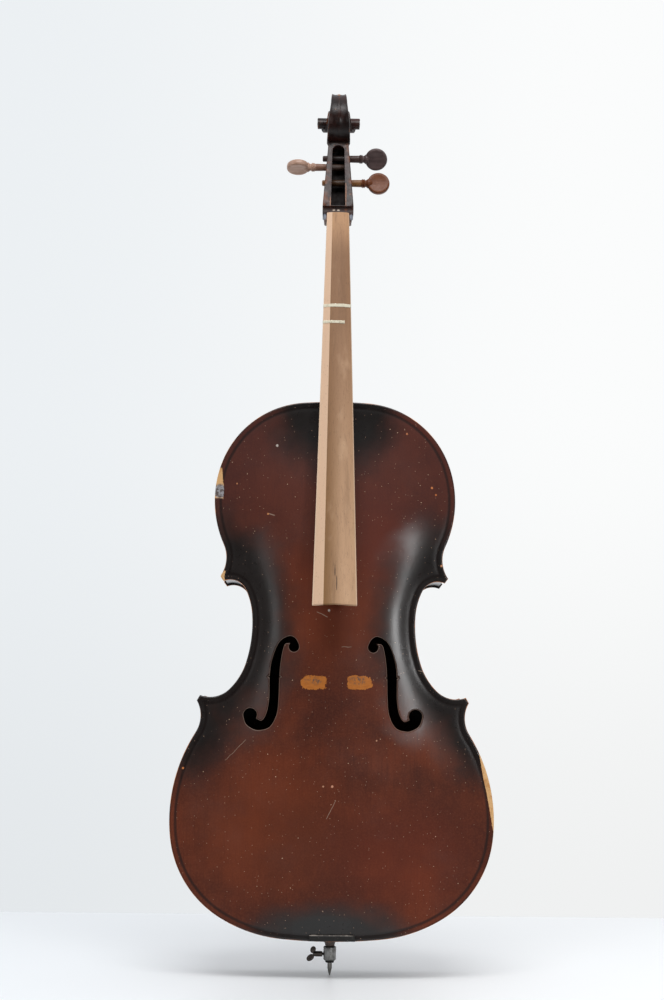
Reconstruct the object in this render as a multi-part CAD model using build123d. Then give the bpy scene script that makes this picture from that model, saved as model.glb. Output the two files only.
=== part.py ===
from build123d import *

import os
from math import cos, exp, pi, radians, sin

# A full-size cello, laid out as the pieces it comes apart into. Millimetres.
# +Z runs up the instrument, the front faces -Y, +X is the treble side.
# The origin is the tip of the endpin. Strings, bridge, nut and tailpiece are off the
# instrument, and one of the four pegs is missing, so its pair of holes is empty.

# ---- driving dimensions -------------------------------------------------------------
BODY_BOTTOM = 53.0          # height of the body's lower edge above the endpin tip
BODY_LENGTH = 755.0
EDGE_Y = 63.0               # outer faces of both plate edges are this far from mid-rib
EDGE_THICKNESS = 4.5
PLATE_THICKNESS = 5.0
TOP_RISE = 21.0             # arching above the edge
BACK_RISE = 19.5
OVERHANG = 3.0              # plate edge beyond the ribs
RIB_THICKNESS = 1.8
LINING_THICKNESS = 3.0
LINING_HEIGHT = 16.0
RIB_Y = EDGE_Y - EDGE_THICKNESS
BODY_TOP = BODY_BOTTOM + BODY_LENGTH

# Half outline, bottom centre to top centre: (radius, turn in degrees) of tangent arcs.
LOWER_ARCS = [(708.6, 5.6), (201.7, 26.1), (147.6, 52.0), (224.9, 38.4), (43.0, -61.8)]
CENTRE_ARCS = [(38.5, -65.1), (89.2, -28.5), (183.1, -21.3), (96.8, -21.5), (24.5, -87.4)]
UPPER_ARCS = [(46.6, -58.6), (154.3, 44.2), (133.5, 66.1)]
LOWER_CORNER = (186.2, 337.8)
LOWER_CORNER_HEADING = 200.8
UPPER_CORNER = (160.8, 504.5)
UPPER_CORNER_HEADING = 124.4

# Widths and heights of the arching's three lobes.
UPPER_BOUT_Z = 612.0
WAIST_Z = 442.0
LOWER_BOUT_Z = 165.0
UPPER_ARCH_WIDTH = 162.0
WAIST_ARCH_WIDTH = 107.0
LOWER_ARCH_WIDTH = 218.0
END_CHANNEL = 8.0
END_RAMP = 230.0

# Sound holes, drawn for the treble side, heights from the body's lower edge.
UPPER_EYE = (55.4, 406.3)
UPPER_EYE_RADIUS = 7.3
LOWER_EYE = (115.6, 310.7)
LOWER_EYE_RADIUS = 9.6
STOP_Z = 364.0              # height of the nicks, where the bridge stands

# Neck, fingerboard and head, drawn in the neck's own frame: the origin is on the
# fingerboard glue plane above the body's top edge, z runs up the neck, y goes back.
NECK_TILT = 8.5
OVERSTAND = 22.0
NECK_LENGTH = 292.0         # body edge to nut seat
NUT_SEAT = 10.5
NUT_HALF_WIDTH = 15.9
BOARD_LENGTH = 578.5
BOARD_END_HALF_WIDTH = 30.9
BOARD_SIDE = 6.0
BOARD_RADIUS = 62.0
BEVEL_RIDGE = 14.8          # bass side flat begins here at the wide end
NECK_DEPTH_AT_NUT = 20.0
NECK_DEPTH_AT_BODY = 24.0
ROOT_DEPTH = 10.0           # depth of the mortise in the upper block
BUTTON_HALF_WIDTH = 13.0
BUTTON_HEIGHT = 17.0

PEGBOX_START = 293.5
PEGBOX_END = 402.0
CHEEK_START_HALF = 21.2
CHEEK_END_HALF = 13.8
CHANNEL_START_HALF = 10.5
CHANNEL_END_HALF = 8.9
CHANNEL_SHOULDER = 385.0    # the channel's rounded end begins here
CHANNEL_END = 393.5
SCROLL_Y = 14.0
SCROLL_Z = 430.0
SCROLL_TOP = 45.0
SCROLL_SHRINK = 0.129       # of the logarithmic volute, per radian
EYE_HALF_SPAN = 31.7

# Pegs, nut end first: (name, side of the head, place along the neck, turn of the head,
# how far the head stands out beyond the shallowest peg's, end of the shaft)
PEG_PLACES = [
    (None, -1, 323.4, 0.0, 0.0, 0.0),
    ("peg_g", 1, 338.1, 0.0, 3.4, -23.6),
    ("peg_d", -1, 363.9, -83.0, 3.4, -17.6),
    ("peg_a", 1, 378.3, 36.0, 0.0, -23.0),
]
PEG_TAPER = 0.02            # radius lost per millimetre
PEG_RADIUS = 5.4            # at the collar
COLLAR_OF_PEG_RADIUS = 6.7
PEG_COLLAR_X = 33.0
PEG_CLEARANCE = 0.04
HEAD_RADIUS = 16.5
HEAD_FROM_COLLAR = 22.6     # centre of the thumbpiece beyond the collar

# Endpin assembly, heights above the floor.
PIN_RADIUS = 3.15
PIN_LENGTH = 330.0
PIN_CONE = 9.2
PIN_TIP_RADIUS = 0.6
PIN_CLEARANCE = 0.06
COLLAR_BOTTOM = 20.5
COLLAR_TOP = 40.6
COLLAR_RADIUS = 9.0
PLUG_RADIUS = 8.4
PLUG_TAPER = 0.03
SCREW_Z = 29.5
SCREW_RADIUS = 2.0
SCREW_CLEARANCE = 0.05

front = Plane.XZ


# ---- helpers ------------------------------------------------------------------------
def front_prism(sketch, y_back, y_front, lift=BODY_BOTTOM):
    """Extrude a sketch drawn in X and Z between two Y planes."""
    base = front.offset(-y_back) * sketch
    return Pos(0, 0, lift) * extrude(base, amount=y_back - y_front, dir=(0, -1, 0))


def slab(x_low, x_high, y_low, y_high, z_low, z_high):
    """A plain box between the given planes."""
    centre = ((x_low + x_high) / 2, (y_low + y_high) / 2, (z_low + z_high) / 2)
    return Pos(*centre) * Box(x_high - x_low, y_high - y_low, z_high - z_low)


def arc_chain(start, heading, arcs):
    """Tangent arcs, each starting where the last one ended."""
    edges = []
    point = Vector(*start)
    angle = heading
    for radius, turn in arcs:
        direction = Vector(cos(radians(angle)), sin(radians(angle)))
        edges.append(JernArc(start=point, tangent=direction, radius=radius, arc_size=turn))
        side = 1 if turn > 0 else -1
        centre = point + Vector(-direction.Y, direction.X) * radius * side
        angle += turn
        point = centre + Vector(sin(radians(angle)), -cos(radians(angle))) * radius * side
    return edges, point, angle


def body_outline():
    """The outline of the plates, closed and symmetrical."""
    lower, lower_tip, _ = arc_chain((0, 0), 0, LOWER_ARCS)
    centre, upper_tip, _ = arc_chain(LOWER_CORNER, LOWER_CORNER_HEADING, CENTRE_ARCS)
    upper, last, angle = arc_chain(UPPER_CORNER, UPPER_CORNER_HEADING, UPPER_ARCS)
    crown = TangentArc(last, (0, BODY_LENGTH), tangent=(cos(radians(angle)), sin(radians(angle))))
    half = lower + [Line(lower_tip, LOWER_CORNER)] + centre
    half += [Line(upper_tip, UPPER_CORNER)] + upper + [crown]
    other = [mirror(edge, about=Plane.YZ) for edge in half]
    return make_face(Curve() + half + other)


def blend(value, low, high):
    """Cosine step from 0 at low to 1 at high."""
    share = min(max((value - low) / (high - low), 0), 1)
    return 0.5 - 0.5 * cos(pi * share)


def arch_half_width(z):
    """Half width of the arched field, heights from the body's lower edge."""
    if z < LOWER_BOUT_Z:
        reach = max(1 - ((LOWER_BOUT_Z - z) / (LOWER_BOUT_Z + 15)) ** 2, 0.02)
        return LOWER_ARCH_WIDTH * reach ** 0.5
    if z > UPPER_BOUT_Z:
        reach = max(1 - ((z - UPPER_BOUT_Z) / (BODY_LENGTH - UPPER_BOUT_Z + 15)) ** 2, 0.02)
        return UPPER_ARCH_WIDTH * reach ** 0.5
    if z < WAIST_Z:
        drop = LOWER_ARCH_WIDTH - WAIST_ARCH_WIDTH
        return LOWER_ARCH_WIDTH - drop * blend(z, LOWER_BOUT_Z, WAIST_Z)
    gain = UPPER_ARCH_WIDTH - WAIST_ARCH_WIDTH
    return WAIST_ARCH_WIDTH + gain * blend(z, WAIST_Z, UPPER_BOUT_Z)


def arch_share(x, z):
    """Height of the arching as a share of its rise, with a flat edge all round."""
    near_end = min(z, BODY_LENGTH - z)
    along = blend(near_end, END_CHANNEL, END_RAMP) ** 0.7
    across = 1 - blend(abs(x), 0, arch_half_width(z))
    return along * across


def arch_slab(rise, side):
    """Thick sheet whose outer face is the arching; side is -1 for the front."""
    rows = []
    for row in range(49):
        z = -12 + row * (BODY_LENGTH + 24) / 48
        line = []
        for column in range(31):
            x = -240 + column * 16.0
            y = side * (EDGE_Y + rise * arch_share(x, z))
            line.append((x, y, z + BODY_BOTTOM))
        rows.append(line)
    sheet = Face.make_surface_from_array_of_points(rows, tol=0.02, min_deg=3, max_deg=3)
    return Solid.extrude(sheet, Vector(0, -side * 60, 0))


def sound_hole():
    """One f-shaped hole on the treble side."""
    outer = Spline(
        (48.2, 407.5), (53.0, 417.3), (62.5, 421.2), (76.5, 412.0), (86.3, 387.0),
        (89.0, 364.0), (89.2, 334.0), (92.5, 314.0), (99.0, 303.2), (107.4, 305.6),
    )
    inner = Spline(
        (125.1, 309.5), (121.5, 298.5), (112.0, 291.6), (101.7, 289.8), (87.5, 295.0),
        (78.6, 312.0), (76.2, 334.0), (75.4, 364.0), (73.6, 387.0), (69.0, 408.5), (61.0, 411.5),
    )
    bridge_low = Line(outer @ 1, inner @ 0)
    bridge_high = Line(inner @ 1, outer @ 0)
    hole = make_face(Curve() + [outer, bridge_low, inner, bridge_high])
    hole += Pos(*UPPER_EYE) * Circle(UPPER_EYE_RADIUS)
    hole += Pos(*LOWER_EYE) * Circle(LOWER_EYE_RADIUS)
    nick = Polygon((0, 2.4), (0, -2.4), (5.0, 0), align=None)
    hole += Pos(88.0, STOP_Z) * nick
    hole += Pos(76.3, STOP_Z) * Rot(0, 0, 180) * nick
    return hole


# ---- body ---------------------------------------------------------------------------
outline = body_outline()
rib_outer = offset(outline, -OVERHANG)
rib_inner = offset(outline, -OVERHANG - RIB_THICKNESS)
lining_inner = offset(outline, -OVERHANG - RIB_THICKNESS - LINING_THICKNESS)

top_slab = arch_slab(TOP_RISE, -1)
back_slab = arch_slab(BACK_RISE, 1)
top_hollow = Pos(0, PLATE_THICKNESS, 0) * top_slab
back_hollow = Pos(0, -PLATE_THICKNESS, 0) * back_slab

button = Pos(0, BODY_LENGTH - 10) * Rectangle(2 * BUTTON_HALF_WIDTH, 20 + 2 * (BUTTON_HEIGHT - 13))
button += Pos(0, BODY_LENGTH + BUTTON_HEIGHT - BUTTON_HALF_WIDTH) * Circle(BUTTON_HALF_WIDTH)

# Damage: the outer ply has gone from a strip of the lower treble edge and from two
# shorter places of the upper bass edge, and the tip of one corner has broken off.
lost_ply = outline - Pos(-7.2, 2.0) * outline
lost_ply &= Pos(215, 208) * Rectangle(60, 108)
chip = outline - Pos(5.0, 0) * outline
chip &= Pos(-162, 635) * Rectangle(30, 40)
broken_tip = Pos(-161.5, 503) * Rot(0, 0, 35) * Rectangle(13, 18)

top_plate = front_prism(outline, -RIB_Y, -120) & top_slab
top_plate -= top_hollow
for hand in (sound_hole(), mirror(sound_hole(), about=Plane.YZ)):
    top_plate -= front_prism(hand, -20, -120)
top_plate -= front_prism(lost_ply, -EDGE_Y + 1.6, -EDGE_Y - 6)
top_plate -= front_prism(chip, -EDGE_Y + 1.4, -EDGE_Y - 6)
top_plate -= front_prism(broken_tip, -EDGE_Y + 2.4, -EDGE_Y - 6)

back_plate = front_prism(outline + button, 120, RIB_Y) & (back_slab + slab(-20, 20, 0, EDGE_Y, 790, 860))
back_plate -= back_hollow & slab(-240, 240, -60, 120, 40, BODY_TOP - 12)

# Line that parts the ribs at each corner, along the corner's own middle.
lower_tip = Vector(188.5, 334.0)
upper_tip_point = Vector(158.4, 501.2)
lower_way = Vector(-0.76, -0.65)
upper_way = Vector(-0.80, 0.60)


def centre_region(sign):
    """Everything between the two corner lines on one side."""
    points = [
        lower_tip - lower_way * 30,
        lower_tip + lower_way * 45,
        Vector(60, 330),
        Vector(60, 520),
        upper_tip_point + upper_way * 45,
        upper_tip_point - upper_way * 30,
    ]
    return Polygon(*[(sign * p.X, p.Y) for p in points], align=None)


def half_plane(sign, z_low, z_high):
    """One side of the centre line between two heights."""
    return Pos(sign * 130, (z_low + z_high) / 2) * Rectangle(260, z_high - z_low)


def side_regions():
    """Name and sketch of the six places round the body that hold a rib."""
    regions = {}
    for side, sign in (("bass", -1), ("treble", 1)):
        middle = centre_region(sign)
        regions["upper_" + side] = half_plane(sign, 420, 780) - middle
        regions["centre_" + side] = middle
        regions["lower_" + side] = half_plane(sign, -20, 420) - middle
    return regions


def corner_block_sketch(name, sign):
    """Filling of one corner, cut square on the inside."""
    if name == "lower":
        shape = Polygon((200, 352), (139, 352), (139, 338), (168, 300), (200, 300), align=None)
    else:
        shape = Polygon((175, 486), (124, 486), (124, 500), (141, 535), (175, 535), align=None)
    if sign < 0:
        shape = mirror(shape, about=Plane.YZ)
    return rib_inner & shape


blocks = {}
for name in ("upper", "lower"):
    for side, sign in (("bass", -1), ("treble", 1)):
        blocks[name + "_" + side + "_corner_block"] = corner_block_sketch(name, sign)
end_block = rib_inner & (Pos(0, 10) * Rectangle(84, 48))
neck_block = rib_inner & (Pos(0, BODY_LENGTH - 10) * Rectangle(100, 50))
blocks["lower_block"] = end_block
blocks["upper_block"] = neck_block

all_blocks = end_block + neck_block
for sketch in blocks.values():
    all_blocks += sketch

parts = {}
for name, sketch in blocks.items():
    parts[name] = front_prism(sketch, RIB_Y, -RIB_Y)

rib_ring = rib_outer - rib_inner
lining_ring = rib_inner - lining_inner - all_blocks
for name, region in side_regions().items():
    parts["rib_" + name] = front_prism(rib_ring & region, RIB_Y, -RIB_Y)
    lining = lining_ring & region
    parts["lining_front_" + name] = front_prism(lining, -RIB_Y + LINING_HEIGHT, -RIB_Y)
    parts["lining_back_" + name] = front_prism(lining, RIB_Y, RIB_Y - LINING_HEIGHT)


# ---- inside the body ----------------------------------------------------------------
BAR_LOW = (-42.0, -31.0)
BAR_ENDS = (87.0, 667.0)
POST_CENTRE = (31.0, 352.0)
POST_RADIUS = 5.5

bar_middle = sum(BAR_ENDS) / 2
bar_foot = Spline((BAR_ENDS[0], -57), (bar_middle, -51), (BAR_ENDS[1], -57))
bar_back = Polyline((BAR_ENDS[1], -57), (BAR_ENDS[1], -110), (BAR_ENDS[0], -110), (BAR_ENDS[0], -57))
bar_plane = Plane(origin=(BAR_LOW[0], 0, BODY_BOTTOM), x_dir=(0, 0, 1), z_dir=(-1, 0, 0))
bar_blank = extrude(bar_plane * make_face(Curve() + [bar_foot, bar_back]), BAR_LOW[0] - BAR_LOW[1])
parts["bass_bar"] = bar_blank & top_hollow

post = front_prism(Pos(*POST_CENTRE) * Circle(POST_RADIUS), 110, -110)
post_end = post & top_hollow & slab(10, 50, -120, -30, 300, 500)
other_end = post & back_hollow & slab(10, 50, 30, 120, 300, 500)
parts["sound_post"] = post_end + other_end + front_prism(Pos(*POST_CENTRE) * Circle(POST_RADIUS), 30, -30)


# ---- neck, pegbox and scroll --------------------------------------------------------
tilt = radians(NECK_TILT)
neck_frame = Plane(
    origin=(0, -EDGE_Y - OVERSTAND, BODY_TOP), x_dir=(1, 0, 0), z_dir=(0, sin(tilt), cos(tilt))
)
in_neck = neck_frame.location


def shaft_section(z, half_width, depth):
    """D-shaped section of the neck: flat in front, round behind."""
    angles = [radians(step * 22.5) for step in range(9)]
    points = [(half_width * cos(a), depth * sin(a) ** 0.9 if sin(a) > 0.01 else 0.0) for a in angles]
    curve = Spline(*points, tangents=[(0, 1), (0, -1)])
    return Plane.XY.offset(z) * make_face(Curve() + [curve, Line(points[-1], points[0])])


def board_half_width(z):
    """Half width of the fingerboard at a height in the neck's frame."""
    share = (NECK_LENGTH - NUT_SEAT - z) / BOARD_LENGTH
    return NUT_HALF_WIDTH + (BOARD_END_HALF_WIDTH - NUT_HALF_WIDTH) * share


def heel_section(depth, half_width, reach):
    """Arched section across the heel, looking from the front."""
    shoulder = reach - half_width
    outline_points = [(half_width, shoulder), (half_width, -25), (-half_width, -25), (-half_width, shoulder)]
    cap = CenterArc((0, shoulder), half_width, 0, 180)
    return front.offset(-depth) * make_face(Curve() + [Polyline(*outline_points), cap])


board_top = NECK_LENGTH - NUT_SEAT
shaft = loft([
    shaft_section(-22, board_half_width(-22), 26.0),
    shaft_section(40, board_half_width(40), NECK_DEPTH_AT_BODY),
    shaft_section(150, board_half_width(150), 22.0),
    shaft_section(board_top - 6, NUT_HALF_WIDTH + 0.1, NECK_DEPTH_AT_NUT),
])
heel = loft([
    heel_section(8, 22.0, 62),
    heel_section(24, 20.5, 46),
    heel_section(40, 19.0, 38),
    heel_section(70, 17.0, 35),
    heel_section(110, 14.6, 36),
    heel_section(155, BUTTON_HALF_WIDTH - 0.4, 40),
])

head_side = make_face(Curve() + [
    Polyline((NECK_DEPTH_AT_NUT, 272), (0, 272), (0, NECK_LENGTH), (-3.5, NECK_LENGTH + 0.5), (9, PEGBOX_END)),
    ThreePointArc((9, PEGBOX_END), (0, 404), (-9, 408)),
    Line((-9, 408), (20, 430)),
    Line((20, 430), (48, 414)),
    Spline((48, 414), (38, 393), (36.5, 360), (35.0, 315), (29.5, 294), (NECK_DEPTH_AT_NUT, 272)),
])
side_plane = Plane.YZ.offset(-40)
head_front = Polygon(
    (16.2, 268), (16.2, 272), (CHEEK_START_HALF, 281), (CHEEK_START_HALF, PEGBOX_START),
    (CHEEK_END_HALF, PEGBOX_END), (12.0, 434),
    (-12.0, 434), (-CHEEK_END_HALF, PEGBOX_END), (-CHEEK_START_HALF, PEGBOX_START),
    (-CHEEK_START_HALF, 281), (-16.2, 272), (-16.2, 268), align=None,
)
pegbox = extrude(side_plane * head_side, 80) & extrude(front.offset(-80) * head_front, 160)


def volute_radius(turned):
    """Radius of the scroll's edge after turning forward from the top, in radians."""
    return SCROLL_TOP * exp(-SCROLL_SHRINK * turned)


def volute_layer(start, half_width, inset):
    """One full turn of the scroll as a plate, set in a little from the layer below."""
    points = []
    for step in range(25):
        turned = start + 2 * pi * step / 24
        radius = volute_radius(turned) - inset
        points.append((SCROLL_Y - radius * sin(turned), SCROLL_Z + radius * cos(turned)))
    face = make_face(Curve() + [Spline(*points), Line(points[-1], points[0])])
    return extrude(Plane.YZ.offset(-half_width) * face, 2 * half_width)


scroll_back = make_face(Curve() + [
    Spline((SCROLL_Y, SCROLL_Z + SCROLL_TOP), (37, 467), (50, 447), (52, 429), (48, 413), tangents=[(1, 0), (-0.35, -1)]),
    Polyline((48, 413), (SCROLL_Y, 413), (SCROLL_Y, SCROLL_Z + SCROLL_TOP)),
])
scroll = extrude(Plane.YZ.offset(-11) * scroll_back, 22)
scroll += volute_layer(0.0, 10.5, 0.0)
scroll += volute_layer(0.75 * pi, 15.5, 0.5)
scroll += volute_layer(1.75 * pi, 21.5, 1.0)
scroll += volute_layer(2.75 * pi, 27.0, 1.5)
eye = Pos(0, SCROLL_Y, SCROLL_Z) * Rot(0, 90, 0) * Cylinder(volute_radius(4.4 * pi), 2 * EYE_HALF_SPAN)
scroll += eye

channel_side = Polygon(
    (-30, PEGBOX_START), (22, PEGBOX_START), (28.5, 308), (29.5, CHANNEL_SHOULDER), (24, CHANNEL_END),
    (-30, CHANNEL_END), align=None,
)
channel_front = make_face(Curve() + [
    Polyline(
        (-CHANNEL_END_HALF, CHANNEL_SHOULDER), (-CHANNEL_START_HALF, PEGBOX_START),
        (CHANNEL_START_HALF, PEGBOX_START), (CHANNEL_END_HALF, CHANNEL_SHOULDER),
    ),
    ThreePointArc((CHANNEL_END_HALF, CHANNEL_SHOULDER), (0, CHANNEL_END), (-CHANNEL_END_HALF, CHANNEL_SHOULDER)),
])
channel = extrude(side_plane * channel_side, 80) & extrude(front.offset(-80) * channel_front, 160)

head = pegbox + scroll - channel


def peg_depth(z):
    """How far behind the glue plane a peg's axis lies."""
    return 15.0 + (z - PEGBOX_START) * 0.09


def peg_radius(x):
    """Radius of a peg at a distance from the head's middle, towards its own head."""
    return PEG_RADIUS - PEG_TAPER * (PEG_COLLAR_X - x)


def cone_along_x(x_from, x_to, radius_from, radius_to):
    """A truncated cone on the X axis."""
    profile = Polygon((x_from, 0), (x_to, 0), (x_to, radius_to), (x_from, radius_from), align=None)
    return revolve(profile, Axis.X)


# The empty pair of holes is a plain bore in each cheek, wider on the peg's side.
EMPTY_NEAR_RADIUS = 5.1
EMPTY_FAR_RADIUS = 4.4
for name, side, z, *_ in PEG_PLACES:
    turn = 0 if side > 0 else 180
    if name:
        gap = PEG_CLEARANCE
        hole = cone_along_x(-40, 40, peg_radius(-40) + gap, peg_radius(40) + gap)
    else:
        hole = cone_along_x(0, 40, EMPTY_NEAR_RADIUS, EMPTY_NEAR_RADIUS)
        hole += cone_along_x(-40, 0, EMPTY_FAR_RADIUS, EMPTY_FAR_RADIUS)
    head -= Pos(0, peg_depth(z), z) * Rot(0, 0, turn) * hole

neck = in_neck * (shaft + heel + head)
neck -= slab(-60, 60, -200, 200, 0, BODY_TOP - ROOT_DEPTH)
neck -= slab(-60, 60, RIB_Y, 200, 0, BODY_TOP + 60)
parts["neck_scroll"] = neck

root = neck & slab(-60, 60, -EDGE_Y, RIB_Y, BODY_TOP - ROOT_DEPTH - 1, BODY_TOP)
top_plate -= neck
parts["upper_block"] -= root
parts["rib_upper_bass"] -= root
parts["rib_upper_treble"] -= root


def make_peg(side, z, turn, out, tail):
    """Tapered shaft, collar and round thumbpiece, turned about the peg's axis."""
    collar = PEG_COLLAR_X + out
    shape = cone_along_x(tail, collar, peg_radius(tail), peg_radius(collar))
    profile = make_face(Curve() + [
        Polyline((0, 0), (0, COLLAR_OF_PEG_RADIUS), (2.5, COLLAR_OF_PEG_RADIUS)),
        Spline((2.5, COLLAR_OF_PEG_RADIUS), (5, 4.6), (10, 5.0), (13, 6.0)),
        Polyline((13, 6.0), (13, 0), (0, 0)),
    ])
    thumb = revolve(profile, Axis.X)
    lens_radius = 60.0
    lens = Pos(HEAD_FROM_COLLAR, lens_radius - 6.2, 0) * Sphere(lens_radius)
    lens &= Pos(HEAD_FROM_COLLAR, 6.2 - lens_radius, 0) * Sphere(lens_radius)
    thumb += lens & (Pos(HEAD_FROM_COLLAR, 0, 0) * Rot(90, 0, 0) * Cylinder(HEAD_RADIUS, 20))
    shape += Pos(collar, 0, 0) * thumb
    facing = 0 if side > 0 else 180
    return Pos(0, peg_depth(z), z) * Rot(0, 0, facing) * Rot(turn, 0, 0) * shape


for name, side, z, turn, out, tail in PEG_PLACES:
    if name:
        parts[name] = in_neck * make_peg(side, z, turn, out, tail)


# ---- fingerboard and its two tapes --------------------------------------------------
def board_section(z, lift=0.0):
    """Section of the fingerboard: low sides, round top, flat on the bass side."""
    half = board_half_width(z) + lift
    ridge = -BEVEL_RIDGE * half / BOARD_END_HALF_WIDTH
    sagitta = BOARD_RADIUS - (BOARD_RADIUS ** 2 - half ** 2) ** 0.5
    crown = -BOARD_SIDE - sagitta - lift
    ridge_y = crown + BOARD_RADIUS - (BOARD_RADIUS ** 2 - ridge ** 2) ** 0.5
    middle = (ridge + half) / 2
    middle_y = crown + BOARD_RADIUS - (BOARD_RADIUS ** 2 - middle ** 2) ** 0.5
    treble = (half, -BOARD_SIDE - lift)
    round_top = ThreePointArc((ridge, ridge_y), (middle, middle_y), treble)
    sides = Polyline(treble, (half, 0), (-half, 0), (-half, -BOARD_SIDE - lift), (ridge, ridge_y))
    return Plane.XY.offset(z) * make_face(Curve() + [round_top, sides])


board_low = board_top - BOARD_LENGTH
board = loft([board_section(board_low), board_section(board_top)], ruled=True)
hollow_wide = Plane.XY.offset(board_low - 1) * (Pos(0, -1) * Ellipse(BOARD_END_HALF_WIDTH - 9, 7))
hollow_narrow = Plane.XY.offset(-45) * (Pos(0, -1) * Ellipse(10, 1.2))
board -= loft([hollow_wide, hollow_narrow])
parts["fingerboard"] = in_neck * board

TAPES = {"tape_upper": (138.0, 40.0, 0.0, 5.0), "tape_lower": (113.0, 13.5, 1.6, 4.5)}
taped = loft([board_section(board_low, 0.3), board_section(board_top, 0.3)], ruled=True) - board
for name, (z, reach, lean, width) in TAPES.items():
    band = Pos((reach - 40) / 2, -20, z) * Rot(0, lean, 0) * Box(reach + 40, 29, width)
    parts[name] = in_neck * (taped & band)


# ---- saddle, end plug and endpin ----------------------------------------------------
SADDLE_X = (-30.0, 34.0)
saddle_view = Pos(sum(SADDLE_X) / 2, 5.2) * Rectangle(SADDLE_X[1] - SADDLE_X[0], 8.8)
saddle = front_prism(saddle_view, -RIB_Y, -EDGE_Y - 4.5)
saddle = chamfer(saddle.edges().filter_by(Axis.X).group_by(Axis.Y)[0], 1.6)
parts["saddle"] = saddle
top_plate -= front_prism(saddle_view, 0, -100)
parts["top_plate"] = top_plate
parts["back_plate"] = back_plate


def turned(points):
    """Solid of revolution about the endpin's axis from (radius, height) points."""
    profile = make_face(Plane.XZ * Polyline(*points, close=True))
    return revolve(profile, Axis.Z)


plug_floor = BODY_BOTTOM + OVERHANG
plug_top = plug_floor + 34
rod_hole = PIN_RADIUS + PIN_CLEARANCE
plug = turned([
    (rod_hole, COLLAR_TOP), (6.6, COLLAR_TOP), (7.4, 44), (12.0, 51.5), (12.0, plug_floor),
    (PLUG_RADIUS, plug_floor), (PLUG_RADIUS - PLUG_TAPER * 34, plug_top), (rod_hole, plug_top),
])
parts["end_plug"] = plug
plug_space = turned([
    (0, plug_floor - 20), (PLUG_RADIUS, plug_floor - 20), (PLUG_RADIUS, plug_floor),
    (PLUG_RADIUS - PLUG_TAPER * 34, plug_top), (0, plug_top),
])
for name in ("lower_block", "rib_lower_bass", "rib_lower_treble"):
    parts[name] -= plug_space

collar = turned([
    (rod_hole, COLLAR_BOTTOM), (COLLAR_RADIUS - 1.6, COLLAR_BOTTOM), (COLLAR_RADIUS, COLLAR_BOTTOM + 1.6),
    (COLLAR_RADIUS, COLLAR_TOP - 1.6), (COLLAR_RADIUS - 1.6, COLLAR_TOP), (rod_hole, COLLAR_TOP),
])
screw_seat = Pos(0, 0, SCREW_Z) * cone_along_x(-20, 0, SCREW_RADIUS + SCREW_CLEARANCE, SCREW_RADIUS + SCREW_CLEARANCE)
parts["endpin_collar"] = collar - screw_seat
parts["collar_ring"] = turned([
    (rod_hole, 17.6), (6.0, 17.6), (6.2, 19.0), (6.2, COLLAR_BOTTOM), (rod_hole, COLLAR_BOTTOM),
])
parts["endpin_rod"] = turned([
    (0, 0), (PIN_TIP_RADIUS, 0), (PIN_RADIUS, PIN_CONE), (PIN_RADIUS, PIN_LENGTH), (0, PIN_LENGTH),
])

# The screw's shank slides along its axis as the winged head turns.
WING_HUB_X = -17.5
shank = cone_along_x(WING_HUB_X - 3.5, -PIN_RADIUS - 0.35, SCREW_RADIUS, SCREW_RADIUS)
parts["screw_shank"] = Pos(0, 0, SCREW_Z) * shank
hub_hole = SCREW_RADIUS + SCREW_CLEARANCE
hub = cone_along_x(-24, WING_HUB_X + 2, 3.4, 3.9)
wing_upper = extrude(front.offset(-1.1) * (Pos(-23.6, 5.6) * Rot(0, 0, -20) * Ellipse(4.0, 5.0)), 2.2)
wing_lower = extrude(front.offset(-1.1) * (Pos(-27.4, -5.4) * Rot(0, 0, 38) * Ellipse(6.2, 4.2)), 2.2)
bore_through = cone_along_x(-40, 0, hub_hole, hub_hole)
parts["screw_wings"] = Pos(0, 0, SCREW_Z) * (hub + wing_upper + wing_lower - bore_through)


# ---- write the pieces ---------------------------------------------------------------
os.makedirs("parts", exist_ok=True)
for name, shape in parts.items():
    export_step(shape, os.path.join("parts", name + ".step"))
print(len(parts), "pieces written")
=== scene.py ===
from math import cos, exp, hypot, pi, radians, sin

import bmesh
import bpy
import numpy as np
from mathutils import Matrix, Vector
from mathutils.geometry import delaunay_2d_cdt


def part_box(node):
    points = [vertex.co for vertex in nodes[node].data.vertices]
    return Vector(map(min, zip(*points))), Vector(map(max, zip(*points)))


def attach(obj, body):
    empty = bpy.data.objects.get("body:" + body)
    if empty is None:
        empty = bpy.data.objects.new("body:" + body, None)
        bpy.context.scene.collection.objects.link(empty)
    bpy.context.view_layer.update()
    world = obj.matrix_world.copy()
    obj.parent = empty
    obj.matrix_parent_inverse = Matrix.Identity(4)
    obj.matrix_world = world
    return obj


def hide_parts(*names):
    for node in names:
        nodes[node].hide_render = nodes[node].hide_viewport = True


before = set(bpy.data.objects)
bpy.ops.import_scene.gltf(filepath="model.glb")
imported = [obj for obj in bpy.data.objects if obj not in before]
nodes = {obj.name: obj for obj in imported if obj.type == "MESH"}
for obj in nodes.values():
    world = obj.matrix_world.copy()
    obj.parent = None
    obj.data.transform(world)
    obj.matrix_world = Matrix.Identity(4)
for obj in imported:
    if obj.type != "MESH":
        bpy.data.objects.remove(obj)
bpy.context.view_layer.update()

# The shape code works in millimetres, in the row frame: +Z up the cello, the front at -Y,
# the origin at the endpin's tip. new_object() turns millimetres into Blender's metres.
MM = 0.001
FAR = 1e9
CROWDED = 0.05              # points of an outline that are nearer than this are dropped
ROOT = "cello"
rng = np.random.default_rng(7)


# ---- sizes, read off the frame where it has them ------------------------------------
def box_mm(node):
    """Lowest and highest corner of a CAD node in millimetres."""
    low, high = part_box(node)
    return np.array(low) / MM, np.array(high) / MM


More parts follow.
